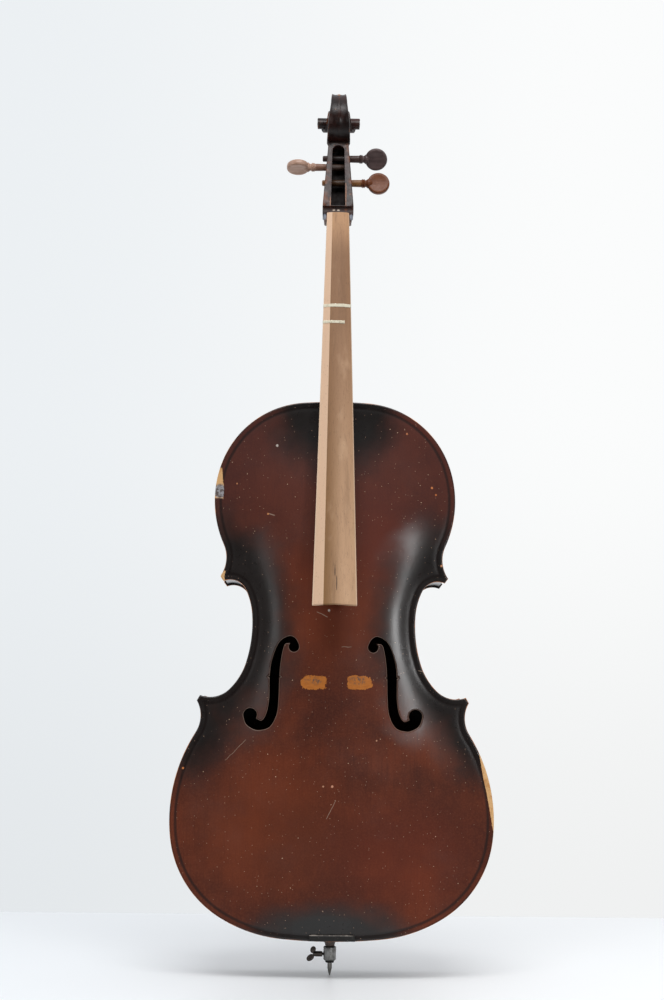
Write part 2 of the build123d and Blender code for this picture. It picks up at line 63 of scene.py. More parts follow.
top_low, top_high = box_mm("top_plate")
back_high = box_mm("back_plate")[1]
BODY_BOTTOM = top_low[2]
BODY_LENGTH = top_high[2] - top_low[2]
RIB_Y = box_mm("rib_lower_treble")[1][1]
EDGE_THICKNESS = 4.5
EDGE_Y = RIB_Y + EDGE_THICKNESS
PLATE_THICKNESS = 5.0
TOP_RISE = -top_low[1] - EDGE_Y
BACK_RISE = back_high[1] - EDGE_Y
BODY_TOP = BODY_BOTTOM + BODY_LENGTH

# Half outline, bottom centre to top centre: (radius, turn in degrees) of tangent arcs.
LOWER_ARCS = [(708.6, 5.6), (201.7, 26.1), (147.6, 52.0), (224.9, 38.4), (43.0, -61.8)]
CENTRE_ARCS = [(38.5, -65.1), (89.2, -28.5), (183.1, -21.3), (96.8, -21.5), (24.5, -87.4)]
UPPER_ARCS = [(46.6, -58.6), (154.3, 44.2), (133.5, 66.1), (677.3, 3.9)]
LOWER_CORNER, LOWER_HEADING = (186.2, 337.8), 200.8
UPPER_CORNER, UPPER_HEADING = (160.8, 504.5), 124.4


# ---- small geometry helpers ---------------------------------------------------------
def arc_points(start, heading, arcs, step):
    """Points along tangent arcs."""
    point = np.array(start, float)
    angle = radians(heading)
    points = [point.copy()]
    for radius, turn in arcs:
        turn = radians(turn)
        side = np.sign(turn)
        centre = point + radius * side * np.array([-sin(angle), cos(angle)])
        count = max(3, int(radius * abs(turn) / step))
        for k in range(1, count + 1):
            a = angle + turn * k / count
            points.append(centre + radius * side * np.array([sin(a), -cos(a)]))
        point = points[-1].copy()
        angle += turn
    return points


def body_outline(step=2.2):
    """The outline of the plates as a loop of points, anticlockwise seen from the front."""
    half = arc_points((0, 0), 0, LOWER_ARCS, step)
    half += arc_points(LOWER_CORNER, LOWER_HEADING, CENTRE_ARCS, step)
    half += arc_points(UPPER_CORNER, UPPER_HEADING, UPPER_ARCS, step)
    half[-1] = np.array([0.0, BODY_LENGTH])
    other = [np.array([-p[0], p[1]]) for p in half[-2:0:-1]]
    return even_loop(np.array(half + other), step)


def even_loop(loop, step):
    """Drops points that crowd and fills long straight stretches."""
    result = []
    count = len(loop)
    for k in range(count):
        a, b = loop[k], loop[(k + 1) % count]
        length = np.hypot(*(b - a))
        pieces = max(1, int(round(length / step)))
        if length < CROWDED:
            continue
        for j in range(pieces):
            result.append(a + (b - a) * j / pieces)
    return np.array(result)


def smooth_path(points, step):
    """Catmull-Rom curve through a few points, sampled evenly."""
    p = np.array(points, float)
    p = np.vstack([2 * p[0] - p[1], p, 2 * p[-1] - p[-2]])
    out = []
    for k in range(1, len(p) - 2):
        count = max(2, int(np.linalg.norm(p[k + 1] - p[k]) / step))
        for j in range(count):
            t = j / count
            a = 2 * p[k]
            b = (p[k + 1] - p[k - 1]) * t
            c = (2 * p[k - 1] - 5 * p[k] + 4 * p[k + 1] - p[k + 2]) * t * t
            d = (-p[k - 1] + 3 * p[k] - 3 * p[k + 1] + p[k + 2]) * t ** 3
            out.append(0.5 * (a + b + c + d))
    out.append(p[-2])
    return np.array(out)


def distance_to(points, loop):
    """Shortest distance from each point to a closed loop, worked out a batch at a time."""
    batch = 2000
    a = loop
    best = np.full(len(points), FAR)
    run = np.roll(loop, -1, axis=0) - a
    length2 = np.maximum((run ** 2).sum(1), 1e-12)
    for low in range(0, len(points), batch):
        p = points[low:low + batch]
        rel = p[:, None, :] - a[None]
        t = np.clip((rel * run[None]).sum(2) / length2, 0, 1)
        gap = rel - t[..., None] * run[None]
        best[low:low + batch] = np.sqrt((gap ** 2).sum(2)).min(1)
    return best


def inside(points, loop):
    """True for each point inside a closed loop."""
    result = np.zeros(len(points), bool)
    a, b = loop, np.roll(loop, -1, axis=0)
    for (x0, y0), (x1, y1) in zip(a, b):
        if y0 == y1:
            continue
        crosses = (y0 > points[:, 1]) != (y1 > points[:, 1])
        at = x0 + (points[:, 1] - y0) * (x1 - x0) / (y1 - y0)
        result ^= crosses & (points[:, 0] < at)
    return result


def loop_normals(loop):
    """Unit normals of a loop, pointing to its left."""
    along = np.roll(loop, -1, axis=0) - np.roll(loop, 1, axis=0)
    along /= np.maximum(np.linalg.norm(along, axis=1), 1e-9)[:, None]
    return np.stack([-along[:, 1], along[:, 0]], 1)


def cos_step(value, low, high):
    """Cosine step from 0 at low to 1 at high, for numbers or arrays."""
    return 0.5 - 0.5 * np.cos(pi * np.clip((value - low) / (high - low), 0, 1))


def new_object(name, vertices, faces, material=None):
    """Makes an object from millimetre vertices."""
    mesh = bpy.data.meshes.new(name)
    mesh.from_pydata([tuple(float(c) * MM for c in v) for v in vertices], [], faces)
    if material:
        mesh.materials.append(material)
    obj = bpy.data.objects.new(name, mesh)
    bpy.context.scene.collection.objects.link(obj)
    return obj


def put(name, vertices, faces, material=None, body=ROOT):
    """Makes a clean, smooth object that rides on a body."""
    obj = new_object(name, vertices, faces, material)
    obj.data.validate()
    obj.data.shade_smooth()
    tidy_mesh(obj)
    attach(obj, body)
    return obj


def tidy_mesh(obj):
    """Welds doubled points and turns the normals outwards."""
    weld = 1e-7
    bm = bmesh.new()
    bm.from_mesh(obj.data)
    bmesh.ops.remove_doubles(bm, verts=bm.verts, dist=weld)
    bmesh.ops.dissolve_degenerate(bm, edges=bm.edges, dist=weld)
    bmesh.ops.recalc_face_normals(bm, faces=bm.faces)
    bm.to_mesh(obj.data)
    bm.free()


def sharpen(obj, angle):
    """Smooth shading that keeps edges sharper than the angle crisp."""
    mesh = obj.data
    mesh.shade_smooth()
    mesh.set_sharp_from_angle(angle=radians(angle))


def grid_faces(rows, columns, wrap=False, offset=0):
    """Quads between consecutive rows of points; wrap joins the last column to the first."""
    faces = []
    last = columns if wrap else columns - 1
    for r in range(rows - 1):
        for c in range(last):
            d = (c + 1) % columns
            a = offset + r * columns
            b = a + columns
            faces.append((a + c, a + d, b + d, b + c))
    return faces


def tube_of_sections(sections):
    """Closed solid through equal loops of points, with capped ends."""
    rows, columns = len(sections), len(sections[0])
    vertices = [p for section in sections for p in section]
    faces = grid_faces(rows, columns, wrap=True)
    for index, section in ((0, sections[0]), (rows - 1, sections[-1])):
        centre = np.mean(np.array(section), axis=0)
        vertices.append(centre)
        hub = len(vertices) - 1
        base = index * columns
        for c in range(columns):
            faces.append((base + c, base + (c + 1) % columns, hub))
    return vertices, faces


def lathe(profile, centre, axis, segments=64):
    """Solid of revolution from (distance along, radius) points about an axis."""
    axis = np.array(axis, float) / np.linalg.norm(axis)
    helper = np.array([0.0, 1.0, 0.0]) if abs(axis[1]) < 0.9 else np.array([1.0, 0.0, 0.0])
    u = np.cross(axis, helper)
    u /= np.linalg.norm(u)
    v = np.cross(axis, u)
    sections = []
    for along, radius in profile:
        ring = []
        for k in range(segments):
            a = 2 * pi * k / segments
            ring.append(np.array(centre) + axis * along + radius * (cos(a) * u + sin(a) * v))
        sections.append(ring)
    return tube_of_sections(sections)


def set_attribute(obj, name, values):
    """Stores one number per vertex for the materials to read."""
    layer = obj.data.attributes.new(name, "FLOAT", "POINT")
    layer.data.foreach_set("value", np.asarray(values, np.float32))


# ---- materials ----------------------------------------------------------------------
class Nodes:
    """A small helper that writes a node tree as expressions."""

    def __init__(self, tree, place):
        self.tree = tree
        tree.nodes.clear()
        self.place = self.node("ShaderNodeTexCoord").outputs[place]

    def node(self, kind, **settings):
        made = self.tree.nodes.new(kind)
        for key, value in settings.items():
            setattr(made, key, value)
        return made

    def feed(self, socket, value):
        if isinstance(value, bpy.types.NodeSocket):
            self.tree.links.new(value, socket)
        elif socket.type == "RGBA":
            socket.default_value = (*value, 1)
        else:
            socket.default_value = value

    def texture(self, kind, vector=None, **values):
        """A node fed with a place, whose other inputs are set by their names."""
        made = self.node(kind)
        self.feed(made.inputs["Vector"], vector or self.place)
        for name, value in values.items():
            made.inputs[name.replace("_", " ")].default_value = value
        return made

    def math(self, operation, a, b=0.0):
        made = self.node("ShaderNodeMath", operation=operation)
        self.feed(made.inputs[0], a)
        self.feed(made.inputs[1], b)
        return made.outputs[0]

    def add(self, a, b):
        return self.math("ADD", a, b)

    def less(self, a, b):
        return self.math("SUBTRACT", a, b)

    def times(self, a, b):
        return self.math("MULTIPLY", a, b)

    def size(self, a):
        return self.math("ABSOLUTE", a)

    def stretch(self, *scale):
        return self.texture("ShaderNodeMapping", Scale=scale).outputs[0]

    def noise(self, scale, detail=3.0, roughness=0.55, vector=None):
        made = self.texture("ShaderNodeTexNoise", vector, Scale=scale, Detail=detail, Roughness=roughness)
        return made.outputs["Fac"]

    def ripple(self, amount, *noise):
        """Noise about zero."""
        return self.times(self.less(self.noise(*noise), 0.5), amount)

    def cells(self, scale):
        return self.texture("ShaderNodeTexVoronoi", Scale=scale)

    def step(self, value, low, high, to_low=0.0, to_high=1.0):
        made = self.node("ShaderNodeMapRange", interpolation_type="SMOOTHSTEP")
        self.feed(made.inputs["Value"], value)
        for name, number in zip(("From Min", "From Max", "To Min", "To Max"), (low, high, to_low, to_high)):
            made.inputs[name].default_value = number
        return made.outputs[0]

    def fade(self, value, low, high):
        """1 below low, falling to 0 at high."""
        return self.step(value, low, high, 1.0, 0.0)

    def mix(self, share, a, b):
        made = self.node("ShaderNodeMix", data_type="RGBA")
        self.feed(made.inputs["Factor"], share)
        self.feed(made.inputs["A"], a)
        self.feed(made.inputs["B"], b)
        return made.outputs["Result"]

    def attribute(self, name):
        return self.node("ShaderNodeAttribute", attribute_name=name).outputs["Fac"]

    def xyz(self, source=None):
        made = self.node("ShaderNodeSeparateXYZ")
        self.feed(made.inputs[0], source or self.place)
        return made.outputs

    def bump(self, height, strength, distance):
        made = self.node("ShaderNodeBump")
        made.inputs["Strength"].default_value = strength
        made.inputs["Distance"].default_value = distance
        self.feed(made.inputs["Height"], height)
        return made.outputs[0]

    def blob(self, x, z, x_radius, z_radius, soft, wobble=0.0):
        """1 inside an ellipse in X and Z, fading over soft; wobble roughens its edge."""
        px, _, pz = self.xyz()
        dx = self.math("DIVIDE", self.less(px, x * MM), x_radius * MM)
        dz = self.math("DIVIDE", self.less(pz, z * MM), z_radius * MM)
        radius = self.math("SQRT", self.add(self.times(dx, dx), self.times(dz, dz)))
        return self.fade(self.add(radius, wobble), 1.0 - soft, 1.0 + soft)


class Shader(Nodes):
    """A material with one Principled surface; its places are metres in the row frame."""

    def __init__(self, name):
        self.material = bpy.data.materials.new(name)
        self.material.use_nodes = True
        super().__init__(self.material.node_tree, "Object")
        self.surface = self.node("ShaderNodeBsdfPrincipled")
        self.feed(self.node("ShaderNodeOutputMaterial").inputs[0], self.surface.outputs[0])

    def finish(self, color, roughness, bump=None, coat=0.0, coat_roughness=0.1, metallic=0.0, specular=0.5):
        values = {
            "Base Color": color, "Roughness": roughness, "Metallic": metallic,
            "Specular IOR Level": specular, "Coat Weight": coat, "Coat Roughness": coat_roughness,
        }
        if bump is not None:
            values["Normal"] = values["Coat Normal"] = bump
        for name, value in values.items():
            self.feed(self.surface.inputs[name], value)
        return self.material


def srgb(red, green, blue):
    """Linear colour from 0-255 display values."""
    def one(value):
        value /= 255
        return value / 12.92 if value <= 0.04045 else ((value + 0.055) / 1.055) ** 2.4
    return (one(red), one(green), one(blue))


BARE_PALE = srgb(202, 154, 98)
BARE_ORANGE = srgb(198, 118, 48)
VARNISH_BLACK = srgb(25, 24, 23)

# Black shading sprayed over the varnish: (x, height on the body, half width, half height, softness).
SHADED = [
    (0, 768, 92, 112, 0.34), (-163, 432, 102, 150, 0.30), (163, 432, 104, 150, 0.30), (0, -8, 124, 54, 0.36),
    (-212, 305, 66, 76, 0.45), (212, 305, 70, 76, 0.45), (-168, 520, 46, 52, 0.4), (168, 520, 46, 52, 0.4),
]

# Thinner varnish that lets the wood glow through: (x, height on the body, half width, half height, colour).
WARM = [
    (0, 478, 96, 92, (134, 60, 28)), (-86, 150, 96, 84, (112, 50, 22)), (104, 118, 92, 66, (108, 42, 20)),
    (70, 560, 46, 60, (116, 46, 28)),
]


def varnish(name, has_edge, marks=False, flame=0.0):
    """Old red-brown varnish, sprayed black round the corners, specked and scratched."""
    s = Shader(name)
    grain = s.noise(460, 4, 0.6, s.stretch(1, 1, 0.035))
    cloud = s.noise(7, 4, 0.6)
    mottle = s.noise(420, 3, 0.6)
    brown = s.mix(s.step(cloud, 0.36, 0.64), srgb(64, 25, 13), srgb(96, 41, 20))
    brown = s.mix(s.step(mottle, 0.35, 0.75, 0, 0.18), brown, srgb(132, 70, 40))
    brown = s.mix(s.step(grain, 0.45, 0.75, 0, 0.28), brown, srgb(48, 19, 12))
    for x, z, x_radius, z_radius, tone in WARM:
        glow = s.blob(x, BODY_BOTTOM + z, x_radius, z_radius, 0.7)
        brown = s.mix(s.times(glow, 0.4), brown, srgb(*tone))
    pz = s.xyz()[2]
    up = s.step(pz, (BODY_BOTTOM + 330) * MM, (BODY_BOTTOM + 700) * MM)
    brown = s.mix(s.times(up, 0.6), brown, srgb(74, 38, 34))
    if flame:
        wave = s.texture("ShaderNodeTexWave", Scale=22, Distortion=6, Detail=3, Detail_Scale=1.6)
        wave.bands_direction = "Z"
        brown = s.mix(s.times(wave.outputs["Fac"], flame), brown, srgb(48, 17, 9))
    wobble = s.ripple(0.5, 14, 3, 0.6)
    shade = 0.0
    for x, z, x_radius, z_radius, soft in SHADED:
        shade = s.math("MAXIMUM", shade, s.blob(x, BODY_BOTTOM + z, x_radius, z_radius, soft, wobble))
    color = s.mix(s.times(shade, 0.97), brown, VARNISH_BLACK)
    haze = s.step(s.noise(11, 4, 0.65), 0.45, 0.8, 0, 0.07)
    color = s.mix(haze, color, srgb(98, 90, 88))

    for scale, size, share, tone in ((210, 0.12, 0.6, (170, 138, 116)), (90, 0.065, 0.4, (214, 180, 150))):
        dust = s.cells(scale)
        spot = s.fade(dust.outputs["Distance"], size * 0.6, size)
        picked = s.step(s.xyz(dust.outputs["Color"])[0], 1 - share, 1 - share + 0.3)
        color = s.mix(s.times(s.times(spot, picked), 0.9), color, srgb(*tone))

    bare_bump = 0.0
    if has_edge:
        edge = s.attribute("edge")
        ragged = s.ripple(2.2, 70, 4, 0.65)
        line = s.size(s.less(s.add(edge, s.times(ragged, 0.35)), 8.4))
        line = s.fade(line, 0.6, 3.2)
        color = s.mix(s.times(line, 0.72), color, srgb(20, 12, 10))
        rim = s.fade(edge, 0.6, 3.0)
        color = s.mix(s.times(rim, 0.55), color, srgb(30, 14, 9))
        worn = s.add(edge, ragged)
        worn = s.fade(worn, 0.0, 0.9)
        where = s.step(s.noise(24, 3, 0.6), 0.40, 0.50)
        worn = s.times(worn, where)
        color = s.mix(worn, color, BARE_ORANGE)
        bare = s.step(s.add(s.attribute("bare"), s.times(ragged, 0.10)), 0.35, 0.65)
        fibre = s.noise(600, 4, 0.6, s.stretch(1, 1, 0.05))
        wood = s.mix(fibre, BARE_PALE, srgb(224, 182, 132))
        wood = s.mix(s.step(s.noise(90, 3), 0.5, 0.7, 0, 0.5), wood, srgb(176, 112, 52))
        glue = s.blob(-163, BODY_BOTTOM + 625, 9, 10, 0.2, s.times(ragged, 0.1))
        silver = s.mix(s.step(s.noise(260, 4, 0.7), 0.42, 0.58), srgb(62, 64, 72), srgb(150, 154, 162))
        wood = s.mix(s.times(glue, 0.9), wood, silver)
        color = s.mix(bare, color, wood)
        bare_bump = s.times(line, -0.5)
        # Pale line along the sound holes' rounded edges: a painted highlight, standing for the side lights
        # that the edges catch.
        lip = s.fade(s.attribute("hole"), 0.3, 1.1)
        color = s.mix(s.times(lip, 0.55), color, srgb(142, 122, 108))
    if marks:
        color = bridge_marks(s, color)
        color = scratches(s, color)

    rough = s.step(s.noise(130, 4, 0.6), 0.3, 0.75, 0.27, 0.32)
    rough = s.add(rough, s.times(s.less(1.0, shade), 0.24))
    height = s.add(s.times(grain, 0.16), s.times(mottle, 0.05))
    height = s.add(height, bare_bump)
    if has_edge:
        rough = s.add(rough, s.times(bare, 0.35))
    normal = s.bump(height, 0.18, 0.0003)
    return s.finish(color, rough, normal, coat=s.times(shade, 0.4), coat_roughness=0.17, specular=0.2)


def rough_rectangle(s, x, z, half_width, half_height, raggedness):
    """1 inside a rounded rectangle with torn edges."""
    px, _, pz = s.xyz()
    dx = s.math("DIVIDE", s.size(s.less(px, x * MM)), half_width * MM)
    dz = s.math("DIVIDE", s.size(s.less(pz, z * MM)), half_height * MM)
    reach = s.math("POWER", s.add(s.math("POWER", dx, 5.0), s.math("POWER", dz, 4.0)), 0.2)
    torn = s.ripple(raggedness, 150, 5, 0.7)
    return s.fade(s.add(reach, torn), 0.94, 1.0)


def bridge_marks(s, color):
    """Two bare patches where the feet of a bridge stood."""
    for x, z, half_width in ((-27.0, 409.7, 17.6), (35.6, 410.2, 18.2)):
        patch = rough_rectangle(s, x, z, half_width, 9.8, 0.95)
        fibre = s.noise(320, 4, 0.65, s.stretch(0.35, 1, 1))
        wood = s.mix(fibre, srgb(146, 78, 26), srgb(196, 122, 52))
        scuff = s.times(s.step(s.noise(210, 5, 0.75), 0.48, 0.6), s.blob(x, z + 3, 12, 6, 0.5))
        wood = s.mix(scuff, wood, srgb(104, 78, 62))
        color = s.mix(patch, color, wood)
    return color


def scratches(s, color):
    """The few long scratches and chips that stand out on the front."""
    px, _, pz = s.xyz()
    waver = s.ripple(0.004, 60, 3)
    strokes = [
        (-25.0, 508.0, -8.0, 500.5, 0.55), (10.0, 459.3, 26.0, 459.4, 0.4),
        (-8.0, 221.0, 5.5, 248.5, 0.4), (-94.0, 646.0, -84.0, 643.5, 0.8),
        (-150.0, 300.0, -120.0, 330.0, 0.3), (118.0, 428.0, 132.0, 427.0, 0.6),
    ]
    for x0, z0, x1, z1, width in strokes:
        run = hypot(x1 - x0, z1 - z0)
        ux, uz = (x1 - x0) / run, (z1 - z0) / run
        rx = s.less(px, x0 * MM)
        rz = s.less(pz, z0 * MM)
        along = s.add(s.times(rx, ux), s.times(rz, uz))
        across = s.less(s.times(rx, uz), s.times(rz, ux))
        across = s.size(s.add(across, waver))
        near = s.fade(across, width * MM * 0.4, width * MM * 1.4)
        begun = s.step(along, 0.0, 0.002)
        ended = s.fade(along, (run - 2) * MM, run * MM)
        stroke = s.times(s.times(near, begun), ended)
        color = s.mix(s.times(stroke, 0.6), color, srgb(168, 146, 128))
    shadow = s.times(rough_rectangle(s, -12, 72, 42, 17, 0.3), 0.04)
    color = s.mix(shadow, color, srgb(70, 84, 84))
    for x, z, radius, tone in (
        (-7.1, 510.0, 1.6, (210, 200, 190)), (-83.0, 743.8, 1.7, (196, 186, 176)),
        (-171.4, 591.5, 1.5, (214, 122, 52)), (-166.0, 579.0, 1.4, (206, 108, 44)),
        (151.1, 575.5, 1.6, (204, 140, 96)), (101.2, 762.9, 1.4, (190, 120, 80)),
        (137.1, 686.1, 1.6, (210, 128, 76)), (142.9, 676.2, 1.3, (200, 116, 64)),
        (-208.0, 289.2, 1.5, (200, 120, 66)), (-0.1, 266.5, 1.6, (208, 150, 120)),
        (-12.6, 266.4, 1.2, (190, 140, 110)), (-94.3, 645.9, 1.3, (206, 140, 90)),
        (-139.0, 689.0, 1.1, (180, 120, 80)), (61.0, 330.0, 1.1, (190, 140, 110)),
    ):
        ragged = s.ripple(0.9, 500, 2)
        color = s.mix(s.times(s.blob(x, z, radius, radius, 0.3, ragged), 0.9), color, srgb(*tone))
    return color


def bare_spruce():
    """Pale bare wood, inside the body."""
    s = Shader("bare_spruce")
    ring = s.noise(260, 3, 0.5, s.stretch(1, 0.4, 0.03))
    color = s.mix(ring, srgb(150, 112, 66), srgb(196, 158, 104))
    color = s.mix(s.step(s.noise(30, 3), 0.4, 0.8, 0, 0.5), color, srgb(112, 80, 48))
    return s.finish(color, 0.75, s.bump(ring, 0.2, 0.0003))


def head_varnish():
    """Dark varnish on the neck and head, rubbed grey along its edges, with painted shade in the pegbox
    channel and painted reflections on the neck's shoulders.
    """
    s = Shader("varnished_neck")
    cloud = s.noise(16, 4, 0.6)
    grain = s.noise(420, 4, 0.6, s.stretch(1, 1, 0.06))
    color = s.mix(s.step(cloud, 0.4, 0.65), srgb(26, 15, 13), srgb(62, 26, 18))
    color = s.mix(s.step(grain, 0.5, 0.75, 0, 0.35), color, srgb(16, 11, 10))
    pz = s.xyz()[2]
    board = box_mm("fingerboard")[1][2]
    heel = s.step(pz, (BODY_TOP + 20) * MM, (BODY_TOP + 70) * MM)
    shaft = s.times(heel, s.fade(pz, (board - 30) * MM, (board - 4) * MM))
    bare = s.mix(grain, srgb(150, 96, 52), srgb(186, 132, 84))
    color = s.mix(s.times(shaft, 0.85), color, bare)
    worn = s.add(s.attribute("worn"), s.ripple(1.1, 90, 4, 0.7))
    worn = s.step(worn, 0.45, 0.85)
    tint = s.mix(s.step(s.noise(60, 2), 0.5, 0.62), srgb(58, 50, 46), srgb(140, 80, 44))
    color = s.mix(s.times(worn, 0.48), color, tint)
    # The channel darkened nearly to black: painted shade in the recess.
    color = s.mix(s.times(s.attribute("hollow"), 0.9), color, srgb(12, 10, 9))
    chips = s.cells(70)
    chip = s.fade(chips.outputs["Distance"], 0.04, 0.09)
    color = s.mix(s.times(chip, 0.35), color, BARE_ORANGE)
    # Spots on the head: glue at the nut seat, a chip on the crown and pale marks on the pegbox; the two
    # blue-grey spots at ±19.4 mm are painted reflections on the neck's shoulders.
    for x, z, half_width, half_height, tone in (
        (-6.0, 284.4, 1.9, 1.1, (214, 196, 178)), (0.6, 284.4, 2.1, 1.1, (220, 206, 190)),
        (-0.2, 463.0, 2.4, 2.6, (176, 116, 78)), (11.2, 309.0, 0.9, 18.0, (150, 96, 60)),
        (-11.4, 296.5, 0.8, 7.0, (156, 104, 70)), (-19.4, 274.0, 2.4, 4.4, (140, 148, 162)),
        (19.4, 274.0, 2.4, 4.4, (140, 148, 162)),
    ):
        ragged = s.ripple(1.2, 300, 3)
        spot = s.blob(x, BODY_TOP + z, half_width, half_height, 0.4, ragged)
        color = s.mix(s.times(spot, 0.75), color, srgb(*tone))
    rough = s.step(s.noise(160, 4), 0.3, 0.75, 0.28, 0.46)
    rough = s.add(rough, s.times(s.attribute("hollow"), 0.4))
    return s.finish(color, rough, s.bump(s.noise(300, 3), 0.12, 0.0003), specular=0.3)


def stripped_board():
    """Bare brown fingerboard, paler towards the bridge, with painted light and shade across its curve and on
    its bass flat.
    """
    s = Shader("stripped_fingerboard")
    low, high = box_mm("fingerboard")
    pz = s.xyz()[2]
    down = s.fade(pz, (low[2] + 20) * MM, (high[2] - 60) * MM)
    fibre = s.noise(700, 5, 0.65, s.stretch(1, 0.6, 0.03))
    band = s.noise(95, 3, 0.55, s.stretch(1, 0.5, 0.035))
    smear = s.noise(26, 3, 0.6, s.stretch(1.5, 1, 0.5))
    across = s.attribute("across")
    # Darker on the bass side of the curve and lighter towards the treble edge: painted shade and light of the
    # board's round top.
    middle = s.mix(s.step(across, -0.5, 0.5), srgb(138, 100, 62), srgb(196, 157, 123))
    color = s.mix(down, srgb(146, 108, 78), middle)
    end = s.step(pz, (high[2] - 70) * MM, (high[2] - 10) * MM)
    color = s.mix(end, color, srgb(190, 146, 108))
    color = s.mix(s.step(band, 0.48, 0.74, 0, 0.34), color, srgb(112, 80, 54))
    color = s.mix(s.step(fibre, 0.5, 0.8, 0, 0.45), color, srgb(92, 64, 46))
    color = s.mix(s.step(smear, 0.55, 0.75, 0, 0.35), color, srgb(216, 180, 146))
    # The bass flat made paler: painted light on that facet.
    flat = s.fade(across, -0.512, -0.5)
    color = s.mix(s.times(flat, 0.78), color, srgb(238, 201, 170))
    lip = s.step(s.size(across), 0.93, 0.97)
    color = s.mix(s.times(lip, 0.4), color, srgb(240, 214, 186))
    for x, up, length in ((0.0, 50.0, 7.5), (2.5, 30.0, 9.0)):
        bend = s.ripple(1.6, 80, 2)
        split = s.blob(x, low[2] + up, 0.7, length, 0.3, bend)
        color = s.mix(s.times(split, 0.8), color, srgb(48, 38, 32))
    pores = s.noise(1500, 2, 0.6, s.stretch(1, 1, 0.12))
    color = s.mix(s.step(pores, 0.62, 0.75, 0, 0.45), color, srgb(66, 44, 32))
    return s.finish(color, 0.55, s.bump(fibre, 0.25, 0.0002), specular=0.3)


def paper_tape():
    """Off-white tape, creased and grubby in patches."""
    s = Shader("paper_tape")
    crease = s.noise(500, 4, 0.7, s.stretch(0.3, 1, 1))
    color = s.mix(crease, srgb(206, 196, 168), srgb(240, 234, 214))
    color = s.mix(s.step(s.noise(160, 3), 0.55, 0.72, 0, 0.45), color, srgb(168, 140, 104))
    return s.finish(color, 0.7, s.bump(crease, 0.4, 0.0003))


def peg_wood(name, dark, light, dust, shaft):
    """Turned and stained wood with a hand-worn gloss, and painted shade on the shaft inside the pegbox
    channel.
    """
    s = Shader(name)
    grain = s.noise(380, 4, 0.6, s.stretch(0.06, 1, 1))
    color = s.mix(grain, srgb(*dark), srgb(*light))
    color = s.mix(s.step(s.noise(60, 3), 0.45, 0.75, 0, 0.6), color, srgb(*dark))
    color = s.mix(s.step(s.noise(240, 3, 0.7), 0.6, 0.78, 0, 0.35), color, srgb(*dust))
    px = s.xyz()[0]
    stem = s.step(s.size(px), 32.0 * MM, 35.0 * MM, 0.75, 0.0)
    stem_color = s.mix(grain, srgb(*(0.6 * c for c in shaft)), srgb(*shaft))
    color = s.mix(stem, color, stem_color)
    # The shaft inside the pegbox channel darkened: painted shade.
    within = s.fade(s.size(px), 9.5 * MM, 11.5 * MM)
    color = s.mix(s.times(within, 0.8), color, srgb(22, 17, 15))
    rough = s.step(s.noise(110, 3), 0.3, 0.7, 0.3, 0.46)
    return s.finish(color, rough, s.bump(grain, 0.12, 0.0002), specular=0.28)


def dark_wood(name, dark, light, worn_above=None):
    """Near-black fitted wood with grey dust in its pores, rubbed pale above a height."""
    s = Shader(name)
    grain = s.noise(520, 4, 0.6, s.stretch(0.08, 1, 1))
    color = s.mix(grain, dark, light)
    color = s.mix(s.step(s.noise(320, 3, 0.7), 0.58, 0.75, 0, 0.35), color, srgb(120, 112, 104))
    if worn_above:
        rubbed = s.step(s.xyz()[2], worn_above * MM, (worn_above + 0.7) * MM)
        rubbed = s.times(rubbed, s.step(s.noise(90, 4, 0.7), 0.40, 0.56, 0.1, 0.7))
        color = s.mix(rubbed, color, srgb(168, 158, 148))
    return s.finish(color, 0.45, s.bump(grain, 0.2, 0.0002), specular=0.25)


def metal(name, base, stain, roughness, scratch_scale=(1, 1, 30)):
    """Turned metal with fine lathe lines and dull stains."""
    s = Shader(name)
    lines = s.noise(300, 3, 0.6, s.stretch(*scratch_scale))
    cloud = s.step(s.noise(160, 4, 0.7), 0.4, 0.7)
    color = s.mix(s.times(cloud, 0.6), base, stain)
    rough = s.add(s.times(cloud, 0.2), roughness)
    return s.finish(color, rough, s.bump(lines, 0.15, 0.0001), metallic=1.0)


def rubber():
    """Matt black rubber with pale dust."""
    s = Shader("black_rubber")
    dust = s.noise(600, 3, 0.7)
    color = s.mix(s.step(dust, 0.5, 0.75, 0, 0.4), srgb(22, 21, 21), srgb(96, 92, 88))
    return s.finish(color, 0.8, s.bump(dust, 0.3, 0.0002))


TOP_VARNISH = varnish("varnished_top", has_edge=True, marks=True)
BACK_VARNISH = varnish("varnished_back", has_edge=True, flame=0.35)
RIB_VARNISH = varnish("varnished_rib", has_edge=False, flame=0.5)
SPRUCE = bare_spruce()
HEAD = head_varnish()
BOARD = stripped_board()
TAPE = paper_tape()
DARK_PEG = peg_wood("dark_peg_wood", (60, 46, 46), (108, 90, 88), (140, 124, 120), (74, 50, 42))
BROWN_PEG = peg_wood("brown_peg_wood", (82, 40, 20), (132, 78, 46), (146, 106, 80), (158, 112, 66))
# A pale peg: its light colours are a painted reflection of the white table under its face, over the same dust
# specks as the other pegs.
PEG_PAINTED_REFLECTION = peg_wood("peg_wood_painted_reflection", (150, 112, 90), (210, 178, 160), (224, 204, 192), (122, 74, 50))
SADDLE_WOOD = dark_wood("ebonised_wood", srgb(16, 15, 15), srgb(38, 36, 34), box_mm("saddle")[1][2] - 1.3)
PLUG_WOOD = dark_wood("plug_wood", srgb(58, 48, 44), srgb(112, 102, 96))
ZINC = metal("zinc_steel", srgb(150, 150, 148), srgb(96, 90, 84), 0.36)
STEEL = metal("bright_steel", srgb(140, 138, 134), srgb(90, 84, 78), 0.3)
IRON = metal("dark_iron", srgb(86, 80, 76), srgb(44, 36, 32), 0.42, (20, 20, 20))
RUBBER = rubber()


